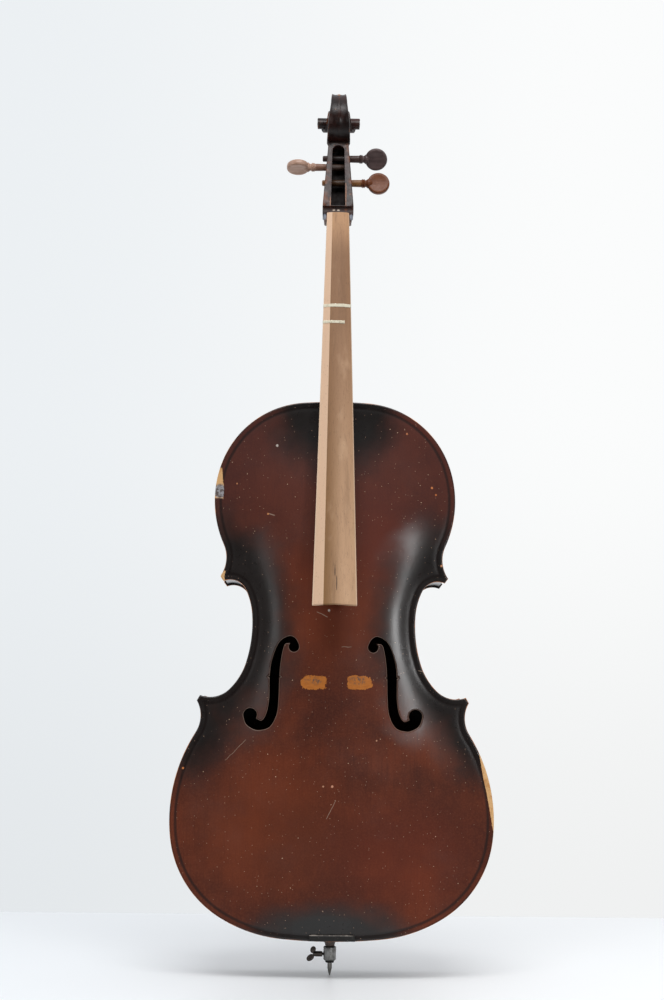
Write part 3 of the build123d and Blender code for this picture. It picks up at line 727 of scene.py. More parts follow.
# ---- the two plates -----------------------------------------------------------------
UPPER_EYE, UPPER_EYE_RADIUS = (55.4, 406.3), 7.3
LOWER_EYE, LOWER_EYE_RADIUS = (115.6, 310.7), 9.6
STOP_Z = 364.0
STEM_OUTER = [
    (48.2, 407.5), (53, 417.3), (62.5, 421.2), (76.5, 412), (86.3, 387), (89, 364), (89.2, 334),
    (92.5, 314), (99, 303.2), (107.4, 305.6),
]
STEM_INNER = [
    (125.1, 309.5), (121.5, 298.5), (112, 291.6), (101.7, 289.8), (87.5, 295), (78.6, 312),
    (76.2, 334), (75.4, 364), (73.6, 387), (69, 408.5), (61, 411.5),
]
EDGE_RINGS = (0.35, 0.9, 1.8, 3.2, 5.2, 7.2, 9.4, 12.0)
HOLE_RINGS = (0.35, 0.9, 2.0)
CHANNEL_FROM_EDGE, CHANNEL_DEPTH, CHANNEL_SPREAD = 8.0, 0.5, 3.6
NO_HOLE = 99.0
EDGE_ROUND = 1.8
GRID, TRIANGLE_HEIGHT = 5.0, 0.866
# Half widths of the arched field and their heights on the body; a bout's curve ends past the body.
LOWER_HALF, WAIST_HALF, UPPER_HALF = 218.0, 107.0, 162.0
LOWER_Z, WAIST_Z, UPPER_Z = 165.0, 442.0, 612.0
BOUT_PAST_END = 15.0


def arch_half_width(z):
    """Half the width of the arched field, heights from the body's lower edge."""
    def bout(half, share):
        return half * np.sqrt(np.maximum(1 - share ** 2, 0.02))

    low = bout(LOWER_HALF, (LOWER_Z - z) / (LOWER_Z + BOUT_PAST_END))
    high = bout(UPPER_HALF, (z - UPPER_Z) / (BODY_LENGTH - UPPER_Z + BOUT_PAST_END))
    below = LOWER_HALF - (LOWER_HALF - WAIST_HALF) * cos_step(z, LOWER_Z, WAIST_Z)
    above = WAIST_HALF + (UPPER_HALF - WAIST_HALF) * cos_step(z, WAIST_Z, UPPER_Z)
    middle = np.where(z < WAIST_Z, below, above)
    return np.where(z < LOWER_Z, low, np.where(z > UPPER_Z, high, middle))


def arch_share(points):
    """Height of the arching as a share of its rise at (x, z) points."""
    x, z = points[:, 0], points[:, 1]
    along = cos_step(np.minimum(z, BODY_LENGTH - z), 8.0, 230.0) ** 0.7
    return along * (1 - cos_step(np.abs(x), 0, arch_half_width(z)))


def sound_hole_loops(side):
    """The three loops of a sound hole: the stem with its wings, and two round eyes."""
    def eye(centre, radius):
        turns = np.arange(int(2 * pi * radius / 1.2)) / int(2 * pi * radius / 1.2) * 2 * pi
        return np.stack([centre[0] + radius * np.cos(turns), centre[1] + radius * np.sin(turns)], 1)

    outer = smooth_path(STEM_OUTER, 1.4)
    inner = smooth_path(STEM_INNER, 1.4)
    loops = [eye(UPPER_EYE, UPPER_EYE_RADIUS), np.vstack([outer, inner]), eye(LOWER_EYE, LOWER_EYE_RADIUS)]
    for x, reach in ((88.0, 4.0), (76.4, -4.0)):
        loops.append(np.array([(x, STOP_Z - 1.5), (x + reach, STOP_Z), (x, STOP_Z + 1.5)]))
    merged = outline_of_union(loops)
    return [loop * np.array([side, 1.0]) for loop in merged]


def triangulate(loops, loose, tolerance):
    """Points and triangles of the flat area that the loops and loose points span, and their centres."""
    points, edges = [], []
    for loop in loops:
        first = len(points)
        points += [Vector(p) for p in loop]
        edges += [(first + k, first + (k + 1) % len(loop)) for k in range(len(loop))]
    points += [Vector(p) for p in loose]
    made, _, faces, _, _, _ = delaunay_2d_cdt(points, edges, [], 0, tolerance)
    made = np.array([tuple(v) for v in made])
    return made, faces, np.array([made[list(f)].mean(0) for f in faces])


def open_sides(faces):
    """The sides that only one triangle has, in the triangle's direction."""
    sides = {(f[k], f[(k + 1) % 3]) for f in faces for k in range(3)}
    return [(a, b) for a, b in sides if (b, a) not in sides]


def outline_of_union(loops):
    """Boundary loops of the area that several loops cover together."""
    made, faces, centres = triangulate(loops, [], 1e-4)
    covered = np.zeros(len(faces), bool)
    for loop in loops:
        covered |= inside(centres, loop)
    after = dict(open_sides([f for f, keep in zip(faces, covered) if keep]))
    result = []
    while after:
        start = next(iter(after))
        loop = [start]
        following = after.pop(start)
        while following != start:
            loop.append(following)
            following = after.pop(following)
        if len(loop) > 12:
            result.append(made[loop])
    return result


def offset_ring(loop, distance):
    """Points a set distance inside a loop, without those that come nearer to another part of it."""
    slack = 0.12
    shifted = loop + loop_normals(loop) * distance
    return shifted[distance_to(shifted, loop) > distance - slack]


def make_plate(name, side, rise, holes, outline, damage, material, node):
    """An arched plate with rounded edges, a channel inside the edge and its holes."""
    cloud = [offset_ring(outline, d) for d in EDGE_RINGS]
    for loop in holes:
        for d in HOLE_RINGS:
            ring = loop + loop_normals(loop) * -d
            cloud.append(ring[distance_to(ring, loop) > d - 0.1])
    for line, _, _ in damage:
        path = smooth_path(line, 1.5)
        along = np.gradient(path, axis=0)
        normal = np.stack([-along[:, 1], along[:, 0]], 1) / np.linalg.norm(along, axis=1)[:, None]
        cloud += [path + normal * d for d in (-0.25, 0.25)]
    columns = np.arange(-240, 240, GRID)
    rows = np.arange(0, BODY_LENGTH + 30, GRID * TRIANGLE_HEIGHT)
    grid = np.array([(x + (GRID / 2 if k % 2 else 0), z) for k, z in enumerate(rows) for x in columns])
    grid = grid[inside(grid, outline)]
    gap = distance_to(grid, outline)
    for loop in holes:
        gap = np.minimum(gap, np.where(inside(grid, loop), -1, distance_to(grid, loop) + 10.5))
    cloud = np.vstack(cloud + [grid[gap > EDGE_RINGS[-1] + 1.5]])
    cloud = cloud[inside(cloud, outline)]
    for loop in holes:
        cloud = cloud[~inside(cloud, loop)]

    flat, faces, centres = triangulate([outline] + holes, cloud, 1e-5)
    keep = inside(centres, outline)
    for loop in holes:
        keep &= ~inside(centres, loop)
    faces = [f for f, ok in zip(faces, keep) if ok]

    edge = distance_to(flat, outline)
    edge[edge < 1e-3] = 0
    full = EDGE_Y + rise * arch_share(flat)
    drop = EDGE_ROUND - np.sqrt(np.maximum(EDGE_ROUND ** 2 - np.maximum(EDGE_ROUND - edge, 0) ** 2, 0))
    channel = CHANNEL_DEPTH * np.exp(-((edge - CHANNEL_FROM_EDGE) / CHANNEL_SPREAD) ** 2)
    outer = full - drop - channel
    inner = np.maximum(full - PLATE_THICKNESS, RIB_Y) + drop * 0.7
    hole_gap = np.full(len(flat), NO_HOLE)
    for loop in holes:
        hole_gap = np.minimum(hole_gap, distance_to(flat, loop))
    outer -= 1.0 * np.maximum(1 - hole_gap / 0.95, 0) ** 2
    bare = np.zeros(len(flat))
    for _, test, depth in damage:
        hit = test(flat)
        bare[hit] = 1
        outer[hit] = np.minimum(outer[hit], full[hit] - depth - 0.3 * drop[hit])
    count = len(flat)
    vertices = [(x, side * y, z + BODY_BOTTOM) for (x, z), y in zip(flat, outer)]
    vertices += [(x, side * y, z + BODY_BOTTOM) for (x, z), y in zip(flat, inner)]
    solid = [tuple(f) for f in faces] + [tuple(i + count for i in reversed(f)) for f in faces]
    solid += [(b, a, a + count, b + count) for a, b in open_sides(faces)]
    obj = new_object(name, vertices, solid, material)
    set_attribute(obj, "edge", np.concatenate([edge, edge]))
    set_attribute(obj, "bare", np.concatenate([bare, bare * 0]))
    set_attribute(obj, "hole", np.concatenate([hole_gap, hole_gap]))
    bm = bmesh.new()
    bm.from_mesh(obj.data)
    bmesh.ops.recalc_face_normals(bm, faces=bm.faces)
    bm.to_mesh(obj.data)
    bm.free()
    sharpen(obj, 50)
    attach(obj, ROOT)
    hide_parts(node)
    return obj


outline = body_outline()
front_outline = outline.copy()
tip = (front_outline[:, 0] < -160.0) & (np.abs(front_outline[:, 1] - 504) < 14)
front_outline[tip, 0] = -160.0 + 0.4 * np.sin(front_outline[tip, 1] * 1.9)

LOST_EDGE = [
    (203.8, 264.5), (204.6, 262.7), (210.4, 229.5), (216.1, 203.3), (220.3, 180), (224.5, 155.2), (226, 151),
]
CHIP_EDGE = [(-160.4, 658.5), (-159.6, 648), (-158.9, 640), (-157.6, 633), (-157.2, 624), (-158.0, 615.5)]
TIP_EDGE = [(-152.7, 511.9), (-154.7, 506.2), (-153.9, 499.2), (-152.4, 495)]


def right_of(line):
    """A test for points on the far side of a chain from the body's middle, within its height."""
    path = np.array(sorted(line, key=lambda p: p[1]))

    def test(points):
        limit = np.interp(points[:, 1], path[:, 1], np.abs(path[:, 0]))
        level = (points[:, 1] > path[0, 1]) & (points[:, 1] < path[-1, 1])
        return level & (np.abs(points[:, 0]) > limit) & (points[:, 0] * path[0, 0] > 0)

    return test


damage = [
    (LOST_EDGE, right_of(LOST_EDGE), 1.5),
    (CHIP_EDGE, right_of(CHIP_EDGE), 1.2),
    (TIP_EDGE, right_of(TIP_EDGE), 0.8),
]
holes = sound_hole_loops(1) + [loop[::-1] for loop in sound_hole_loops(-1)]
top = make_plate("top_plate_carved", -1, TOP_RISE, holes, front_outline, damage, TOP_VARNISH, "top_plate")


def button_outline():
    """The back's outline with the button that covers the heel."""
    button_top = back_high[2] - BODY_BOTTOM
    half = 13.0
    loop = [p for p in outline if not (abs(p[0]) < half and p[1] > BODY_LENGTH / 2)]
    first = min(range(len(loop)), key=lambda k: np.hypot(loop[k][0] - half, loop[k][1] - BODY_LENGTH))
    turns = np.linspace(0, pi, 21)
    arc = [np.array([half * cos(t), button_top - half + half * sin(t)]) for t in turns]
    return np.array(loop[:first + 1] + arc + loop[first + 1:])


back = make_plate("back_plate_carved", 1, BACK_RISE, [], button_outline(), [], BACK_VARNISH, "back_plate")


# ---- neck, pegbox and scroll --------------------------------------------------------
NECK_TILT = radians(8.5)
OVERSTAND = 22.0
NECK_LENGTH = 292.0
NUT_SEAT = 10.5
BOARD_TOP = NECK_LENGTH - NUT_SEAT
BOARD_LENGTH = 578.5
NUT_HALF_WIDTH = 15.9
BOARD_END_HALF_WIDTH = 30.9
SCROLL_Y, SCROLL_Z, SCROLL_TOP, SCROLL_SHRINK = 14.0, 430.0, 45.0, 0.129
EYE_TURN = 4.4 * pi


def in_neck(x, y, z):
    """A point of the neck's own frame (z up the neck, y back) in the row frame."""
    c, s = cos(NECK_TILT), sin(NECK_TILT)
    return np.array([x, -EDGE_Y - OVERSTAND + y * c + z * s, BODY_TOP - y * s + z * c])


def out_of_neck(point):
    """The neck's own coordinates, in millimetres, of a vertex in metres."""
    c, s = cos(NECK_TILT), sin(NECK_TILT)
    x, y, z = point / MM
    y, z = y + EDGE_Y + OVERSTAND, z - BODY_TOP
    return x, y * c - z * s, y * s + z * c


def board_half(z):
    """Half width of the fingerboard at a height in the neck's frame."""
    return NUT_HALF_WIDTH + (BOARD_END_HALF_WIDTH - NUT_HALF_WIDTH) * (BOARD_TOP - z) / BOARD_LENGTH


def joined(name, parts, material, body=ROOT):
    """One object from several (vertices, faces) shells."""
    vertices, faces = [], []
    for part_vertices, part_faces in parts:
        first = len(vertices)
        vertices += list(part_vertices)
        faces += [tuple(i + first for i in f) for f in part_faces]
    return put(name, vertices, faces, material, body=body)


def baked(obj, kind, **settings):
    """Applies one modifier to the object's mesh."""
    modifier = obj.modifiers.new(kind, kind)
    for key, value in settings.items():
        setattr(modifier, key, value)
    bpy.context.view_layer.update()
    evaluated = obj.evaluated_get(bpy.context.evaluated_depsgraph_get())
    mesh = bpy.data.meshes.new_from_object(evaluated)
    obj.modifiers.clear()
    old = obj.data
    obj.data = mesh
    bpy.data.meshes.remove(old)


def cut_away(obj, shape):
    """Subtracts a closed (vertices, faces) shape."""
    cutter = put(obj.name + "_cutter", *shape)
    baked(obj, "BOOLEAN", operation="DIFFERENCE", solver="EXACT", object=cutter)
    bpy.data.objects.remove(cutter)


def mark_wear(obj):
    """Stores how far each vertex stands out from its neighbours, for rubbed edges."""
    bm = bmesh.new()
    bm.from_mesh(obj.data)
    bm.normal_update()
    wear = []
    for vertex in bm.verts:
        total = 0.0
        for e in vertex.link_edges:
            away = vertex.co - e.other_vert(vertex).co
            total = max(total, vertex.normal.dot(away) / max(away.length, 1e-9))
        wear.append(min(max(total * 2.2, 0), 1))
    bm.free()
    set_attribute(obj, "worn", wear)


def shaft_sections():
    """D-shaped sections of the neck from inside the body to the head."""
    for z, half, depth in (
        (-9, board_half(-9), 26.0), (20, board_half(20), 25.0), (60, board_half(60), 23.8),
        (110, board_half(110), 22.8), (170, board_half(170), 21.8), (230, board_half(230), 20.8),
        (262, NUT_HALF_WIDTH + 0.4, 20.2), (278, NUT_HALF_WIDTH, 20.4),
    ):
        turns = np.linspace(0, pi, 19)
        loop = [(half * cos(t), depth * max(sin(t), 0) ** 0.9) for t in turns]
        loop += [(-half * k, 0.0) for k in (0.5, 0.0, -0.5)]
        yield [in_neck(x, y, z) for x, y in loop]


def heel_sections():
    """Arched sections across the heel, from the neck back to the button."""
    for depth, half, reach in (
        (6, 22.0, 64), (16, 21.2, 53), (24, 20.5, 46), (32, 19.6, 41), (40, 19.0, 38), (55, 18.0, 35.8),
        (70, 17.0, 35), (90, 15.8, 35.2), (110, 14.6, 36), (130, 13.4, 37.8), (150, 12.6, 39.6),
    ):
        turns = np.linspace(0, pi, 15)
        loop = [(half * cos(t), reach - half + half * sin(t)) for t in turns]
        floor = (-8.0 + depth * sin(NECK_TILT)) / cos(NECK_TILT)
        loop += [(-half, floor), (0, floor), (half, floor)]
        points = [in_neck(x, depth, z) for x, z in loop]
        yield [np.array([p[0], min(p[1], RIB_Y + 0.2), p[2]]) for p in points]


shaft_and_heel = [tube_of_sections(list(sections())) for sections in (shaft_sections, heel_sections)]
neck = joined("neck_carved", shaft_and_heel, HEAD)
baked(neck, "REMESH", mode="VOXEL", voxel_size=1.3 * MM)
baked(neck, "SMOOTH", factor=0.5, iterations=9)
neck.data.shade_smooth()
mark_wear(neck)
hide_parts("neck_scroll")

PEGBOX_START = 293.5
# (height, half width, depth) of the open channel, in the neck's frame
CHANNEL = [
    (293.5, 10.5, 21.0), (298, 10.4, 25.0), (308, 10.2, 28.3), (340, 9.7, 28.8), (385, 8.9, 29.5),
    (388.5, 8.1, 28.6), (391, 6.3, 27.4), (392.8, 3.5, 26.0), (393.5, 1.0, 25.0),
]


def cheek_half(z):
    """Half width of the pegbox across its cheeks."""
    heights = [262, 270.6, 271.2, 280.6, 281.6, 293.5, 402, 412, 420]
    return np.interp(z, heights, [15.8, 15.9, 20.0, 20.8, 22.4, 22.5, 14.4, 12.6, 10.4])


def pegbox_sections():
    """Loops across the pegbox: square in front, fluted behind."""
    back_line = smooth_path([
        (262, 19.6), (272, 20.5), (283, 24.6), (294, 29.5), (315, 35), (360, 36.5), (393, 38), (414, 47.5),
        (421, 50.5),
    ], 2)
    heights = [262, 267, 270.6, 271.2, 276, 280.6, 281.6, 286, 292, 292.6, 300, 315, 330, 345, 360, 375, 393]
    for z in heights + [402, 408, 414, 420]:
        half = float(cheek_half(z))
        y_front = float(np.interp(z, [262, 292.05, 292.55, 402, 408, 420], [0, 0, -3.5, 9, 13, 24]))
        y_back = float(np.interp(z, back_line[:, 0], back_line[:, 1]))
        flute = 2.2 * float(cos_step(z, 284, 306))
        side = half - 0.4
        right = [
            (half - 1.1, y_front), (half, y_front + 1.0),
            (side, (y_front + y_back) / 2), (side, y_back - 3.2),
            (side - 0.8, y_back - 1.4), (side - 2.2, y_back - 0.5), (side * 0.74, y_back - 0.5 - flute * 0.7),
            (side * 0.5, y_back - 0.3 - flute), (side * 0.25, y_back - 0.2 - flute * 0.6),
        ]
        loop = right + [(0.0, y_back)] + [(-x, y) for x, y in reversed(right)]
        yield [in_neck(x, y, z) for x, y in loop]


def channel_cutter():
    """The open trough that the strings wind in."""
    sections = []
    for z, half, floor in CHANNEL:
        corner = min(3.5, half * 0.6)
        nearly = 0.3 * corner
        right = [(half, -40), (half, floor - corner), (half - nearly, floor - nearly), (half - corner, floor)]
        sections.append([in_neck(x, y, z) for x, y in right + [(-x, y) for x, y in reversed(right)]])
    return tube_of_sections(sections)


def peg_depth(z):
    """How far behind the glue plane a peg's axis lies."""
    return 15.0 + (z - PEGBOX_START) * 0.09


def mark_hollow(obj):
    """Stores which vertices lie inside the channel, where no polish reaches and the material paints shade."""
    places, halves, _ = zip(*CHANNEL)
    values = []
    for vertex in obj.data.vertices:
        x, depth, along = out_of_neck(vertex.co)
        wall = float(np.interp(along, places, halves))
        front = float(np.interp(along, [293, 402], [-3.5, 9]))
        values.append(1.0 if abs(x) < wall + 0.25 and 293.4 < along < 394 and front + 2 < depth < 30 else 0.0)
    set_attribute(obj, "hollow", values)


EMPTY_PEG_Z = 323.4
pegbox = put("pegbox_carved", *tube_of_sections(list(pegbox_sections())), HEAD)
cut_away(pegbox, channel_cutter())
hole_profile = [(-40, 5.3), (-10, 5.1), (10, 4.5), (40, 4.4)]
cut_away(pegbox, lathe(hole_profile, in_neck(0, peg_depth(EMPTY_PEG_Z), EMPTY_PEG_Z), (1, 0, 0), 40))
baked(pegbox, "BEVEL", width=0.6 * MM, segments=2, limit_method="ANGLE", angle_limit=radians(50))
sharpen(pegbox, 40)
mark_wear(pegbox)
mark_hollow(pegbox)
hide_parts("neck_scroll")


def log_radius(turned):
    """Radius of a logarithmic volute after turning forward from the top."""
    return SCROLL_TOP * exp(-SCROLL_SHRINK * turned)


CROWN = smooth_path([
    (-pi, log_radius(pi)), (-2.6, 33.2), (-2.03, 36.6), (-1.6, 38), (-1.13, 40), (-0.56, 43.2), (0, 44.8),
    (0.6, 42.7), (1.2, 39.0), (1.9, log_radius(1.9)),
], 0.05)


def volute_radius(turned):
    """Radius of the scroll's edge, smooth over the crown."""
    if turned < 1.9:
        return float(np.interp(turned, CROWN[:, 0], CROWN[:, 1]))
    return log_radius(turned)


# (half turns from the top, half width)
VOLUTE_WIDTHS = [
    (-1, 17.3), (-0.88, 15.2), (-0.7, 13.8), (-0.5, 12.8), (0, 9.8), (0.36, 12.2), (0.5, 14.1),
    (0.61, 16.0), (0.9, 17.2), (1, 17.3), (1.5, 15.6), (2, 14.4), (2.5, 17.6), (3, 21.5),
    (3.5, 26.5), (4, 30.4), (4.4, 31.4),
]


def volute_half(turned):
    """Half width of the scroll at its edge."""
    places, widths = zip(*VOLUTE_WIDTHS)
    return float(np.interp(turned / pi, places, widths))


def scroll_point(x, radius, turned):
    """A point of the scroll in the row frame."""
    return in_neck(x, SCROLL_Y - radius * sin(turned), SCROLL_Z + radius * cos(turned))


def scroll_shape():
    """The volute: a fluted band round the outside and a dished spiral on each side."""
    steps = 64
    turns = [-pi + 2 * pi * k / steps for k in range(int(round(steps * (EYE_TURN + pi) / (2 * pi))) + 1)]
    turns[-1] = EYE_TURN
    shares = (0.0, 0.06, 0.2, 0.4, 0.6, 0.8, 0.95, 1.0, 1.0)
    vertices, faces = [], []
    for side in (1, -1):
        first = len(vertices)
        for t in turns:
            r_out = volute_radius(t)
            next_turn = min(t + 2 * pi, EYE_TURN)
            r_in = max(volute_radius(next_turn), volute_radius(EYE_TURN))
            fade = min(1.0, (r_out - r_in) / 8)
            w = volute_half(t)
            for column, u in enumerate(shares):
                dish = 3.0 * sin(u * pi / 2) ** 1.3 * fade
                x = w - dish
                if column == 0:
                    x = w - 0.7
                if column == len(shares) - 1:
                    x = volute_half(next_turn) - 0.7
                vertices.append(scroll_point(side * x, r_out + (r_in - r_out) * u, t))
        faces += grid_faces(len(turns), len(shares), offset=first)
        last_turn = EYE_TURN - 2 * pi - 0.01
        rim = [first + (k + 1) * len(shares) - 1 for k, t in enumerate(turns) if t >= last_turn]
        hub = len(vertices)
        vertices.append(scroll_point(side * 31.7, 0.0, 0.0))
        faces += [(rim[k], rim[k + 1], hub) for k in range(len(rim) - 1)]
    first = len(vertices)
    band = [t for t in turns if t <= pi + 1e-6]
    across = np.linspace(-1, 1, 17)
    for t in band:
        w = volute_half(t) - 0.7
        for q in across:
            flute = 1.2 * abs(sin(pi * q)) ** 0.9 if abs(q) < 0.999 else 0.0
            vertices.append(scroll_point(w * q, volute_radius(t) - flute, t))
    faces += grid_faces(len(band), len(across), offset=first)
    return vertices, faces


scroll = put("scroll_carved", *scroll_shape(), HEAD)
sharpen(scroll, 42)
mark_wear(scroll)
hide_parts("neck_scroll")


# ---- fingerboard and tapes ----------------------------------------------------------
BOARD_SIDE, BOARD_RADIUS, BEVEL_RIDGE = 6.0, 62.0, 14.8


def board_top_line(z, lift=0.0):
    """Points across the playing surface from the treble edge to the bass edge."""
    half = board_half(z) + lift
    ridge = -BEVEL_RIDGE * half / BOARD_END_HALF_WIDTH
    crown = -BOARD_SIDE - (BOARD_RADIUS - (BOARD_RADIUS ** 2 - half ** 2) ** 0.5) - lift

    def arc(x):
        return crown + BOARD_RADIUS - (BOARD_RADIUS ** 2 - x ** 2) ** 0.5

    line = [(half, -BOARD_SIDE - lift + 0.7), (half - 0.7, arc(half - 0.7) + 0.1)]
    line += [(x, arc(x)) for x in np.linspace(half - 2, ridge + 0.6, 12)]
    line.append((ridge - 0.5, arc(ridge) + 0.15))
    flat_width = -half + 0.8 - ridge
    flat_drop = -BOARD_SIDE - lift - arc(ridge)
    line += [(ridge + flat_width * q, arc(ridge) + flat_drop * q) for q in (0.3, 0.65, 1.0)]
    line.append((-half, -BOARD_SIDE - lift + 0.8))
    return line


def board_sections():
    """Loops round the fingerboard, hollowed underneath where it leaves the neck."""
    low = BOARD_TOP - BOARD_LENGTH
    heights = [low + up for up in (0, 0.6, 40, 120, 200, 252)]
    for z in heights + [0, 100, 200, BOARD_TOP - 0.6, BOARD_TOP]:
        inset = 0.5 if z in (low, BOARD_TOP) else 0.0
        half = board_half(z)
        share = float(np.clip((-45 - z) / (-45 - low), 0, 1))
        top_line = [(x * (1 - inset / half), y + inset * (y < -3)) for x, y in board_top_line(z)]
        hollow = (half - 9) * share ** 0.6
        under = [(-half + inset, -0.1)]
        under += [(hollow * cos(t), -1 * share - 7 * share * sin(t)) for t in np.linspace(pi, 0, 13)]
        under.append((half - inset, -0.1))
        yield [in_neck(x, y, z) for x, y in top_line + under]


board = put("fingerboard_carved", *tube_of_sections(list(board_sections())), BOARD)
sharpen(board, 24)


# Each vertex's place across the board: -1 at the bass edge, 1 at the treble edge.
places = [out_of_neck(vertex.co) for vertex in board.data.vertices]
set_attribute(board, "across", [x / board_half(z) for x, _, z in places])
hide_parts("fingerboard")


def tape(name, z, reach, lean, width):
    """A strip of tape across the strings' side of the board, with an uneven edge."""
    rows = []
    lines, steps = 6, 34
    for row, across in enumerate(np.linspace(-0.5, 0.5, lines)):
        line = board_top_line(z, 0.22)[::-1]
        path = smooth_path([p for p in line if p[0] < reach - board_half(z)], 1.0)
        picks = path[np.linspace(0, len(path) - 1, steps).astype(int)]
        ragged = rng.normal(0, 0.22, steps) if row in (0, lines - 1) else np.zeros(steps)
        sag = 0.05 * np.sin(np.linspace(0, 9, steps) + across * 3)
        rows.append([
            in_neck(x, y - sag[k] * 0.5, z + across * width + ragged[k] + (x * np.tan(radians(lean))))
            for k, (x, y) in enumerate(picks)
        ])
    vertices = [p for line in rows for p in line]
    strip = put(name + "_strip", vertices, grid_faces(lines, steps), TAPE)
    baked(strip, "SOLIDIFY", thickness=0.18 * MM, offset=-1)
    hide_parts(name)


tape("tape_upper", 138.0, 50.0, 0.0, 4.6)
tape("tape_lower", 113.0, 33.0, -1.6, 4.2)


# ---- pegs ---------------------------------------------------------------------------
def disc(centre, u, v, n, reach, half_thickness, segments=72):
    """A closed lens: reach(angle) is its outline, half_thickness(share) its section."""
    shares = (0.14, 0.35, 0.55, 0.72, 0.84, 0.92, 0.97, 1.0)
    vertices, faces = [], []
    for side in (1, -1):
        first = len(vertices)
        for share in shares:
            for k in range(segments):
                a = 2 * pi * k / segments
                radius = reach(a) * share
                lift = side * half_thickness(share)
                vertices.append(centre + u * radius * cos(a) + v * radius * sin(a) + n * lift)
        faces += grid_faces(len(shares), segments, wrap=True, offset=first)
        vertices.append(centre + n * side * half_thickness(0.0))
        hub = len(vertices) - 1
        faces += [(first + (k + 1) % segments, first + k, hub) for k in range(segments)]
    a = (len(shares) - 1) * segments
    b = a + len(shares) * segments + 1
    faces += [(a + k, a + (k + 1) % segments, b + (k + 1) % segments, b + k) for k in range(segments)]
    return vertices, faces


COLLAR_X = 33.0
PEG_COLLAR = [
    (-2.0, 5.35), (-1.7, 6.0), (-0.7, 6.65), (0.1, 6.2), (0.5, 5.5), (0.9, 6.2), (1.7, 6.6), (2.4, 6.2),
    (3.0, 5.2), (4.2, 4.9), (5.6, 5.6), (7.0, 6.9), (9.0, 7.2), (12.0, 5.6), (15.0, 3.0),
]
HEAD_FROM_COLLAR, PEG_HEAD_RADIUS = 22.5, 16.6
HEAD_SECTION = np.array([
    (0, 3.2), (0.35, 3.4), (0.6, 3.9), (0.8, 4.5), (0.9, 4.5), (0.95, 4.0), (0.985, 2.9), (1.0, 1.2),
])


def peg(name, side, z, turn, out, tail, material):
    """A tapered peg: shaft, double collar and dished thumbpiece."""
    origin = in_neck(0, peg_depth(z), z)
    along = np.array([side, 0.0, 0.0])
    front = in_neck(0, -1, 0) - in_neck(0, 0, 0)
    upward = in_neck(0, 0, 1) - in_neck(0, 0, 0)
    n = front * cos(radians(turn)) + upward * sin(radians(turn))
    v = upward * cos(radians(turn)) - front * sin(radians(turn))
    collar = COLLAR_X + out
    stem = [(tail, 2.6), (tail + 0.4, 3.7), (tail + 1.2, 4.25)]
    stem += [(collar + place, radius) for place, radius in PEG_COLLAR]
    head = disc(
        origin + along * (collar + HEAD_FROM_COLLAR), along, v, n,
        lambda a: PEG_HEAD_RADIUS * (1 - 0.02 * sin(a) ** 2 - 0.03 * max(-cos(a), 0) ** 3),
        lambda share: float(np.interp(share, HEAD_SECTION[:, 0], HEAD_SECTION[:, 1])),
    )
    made = joined(name + "_turned", [lathe(stem, origin, along, 48), head], material, body=name)
    sharpen(made, 50)
    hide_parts(name)


peg("peg_g", 1, 338.1, 0.0, 3.4, -23.6, BROWN_PEG)
peg("peg_d", -1, 363.9, -83.0, 3.4, -17.6, PEG_PAINTED_REFLECTION)
peg("peg_a", 1, 378.3, -36.0, 0.0, -23.0, DARK_PEG)


# ---- saddle and endpin --------------------------------------------------------------
def make_saddle():
    """The low ebony block at the body's end, with a groove worn by the tailgut."""
    low, high = box_mm("saddle")
    sections = []
    span = high[0] - low[0]
    for share in (0, 0.02, 0.06, 0.2, 0.36, 0.42, 0.5, 0.58, 0.64, 0.8, 0.94, 0.98, 1):
        inset = 1.2 * (1 - min(1, min(share, 1 - share) / 0.05)) ** 2
        groove = 0.7 if 0.35 < share < 0.45 or 0.55 < share < 0.65 else 0.0
        x = low[0] + span * share
        y0, y1 = low[1] + inset + groove, high[1] - 0.5
        z0, z1 = low[2] + 0.2, high[2] - inset
        loop = [
            (y1, z0), (y0 + 1.8, z0), (y0 + 0.5, z0 + 0.6), (y0, z0 + 1.8),
            (y0, z1 - 2.0), (y0 + 0.6, z1 - 0.7), (y0 + 2.0, z1), (y1, z1),
        ]
        sections.append([np.array([x, y, z]) for y, z in loop])
    saddle = put("saddle_carved", *tube_of_sections(sections), SADDLE_WOOD)
    sharpen(saddle, 50)
    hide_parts("saddle")


def turned_piece(name, profile, material, body=ROOT, centre=(0, 0, 0), axis=(0, 0, 1)):
    """A lathe piece that stands for a CAD node."""
    made = put(name + "_turned", *lathe(profile, centre, axis), material, body=body)
    sharpen(made, 40)
    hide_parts(name)


SCREW_Z = 29.5
SCREW_CENTRE, SCREW_AXIS = (0, 0, SCREW_Z), (-1, 0, 0)
THREAD_PITCH = 0.7
make_saddle()
turned_piece("end_plug", [
    (40.7, 5.9), (41.2, 6.5), (43.5, 7.0), (45.5, 7.6), (47.0, 9.2), (49.0, 10.7), (51.0, 11.8), (53.5, 12.0),
    (56.0, 12.0), (56.2, 8.3), (89.0, 7.3), (89.9, 6.6),
], PLUG_WOOD)
turned_piece("endpin_collar", [
    (20.5, 6.8), (20.9, 7.6), (22.1, 8.9), (22.6, 9.0), (24.2, 9.0), (24.5, 8.6), (24.9, 8.6), (25.2, 9.0),
    (36.4, 9.0), (36.7, 8.6), (37.1, 8.6), (37.4, 9.0), (39.0, 9.0), (40.2, 8.0), (40.6, 7.2),
], ZINC)
turned_piece("collar_ring", [
    (17.6, 5.2), (17.9, 5.9), (18.8, 6.2), (20.2, 6.2), (20.5, 5.9),
], RUBBER)
turned_piece("endpin_rod", [
    (0, 0.55), (0.3, 0.75), (9.2, 3.0), (10.0, 3.15), (60, 3.15), (326, 3.15), (329, 2.6), (330, 1.8),
], STEEL, body="endpin")
thread = [(3.6, 1.2), (4.0, 1.75)]
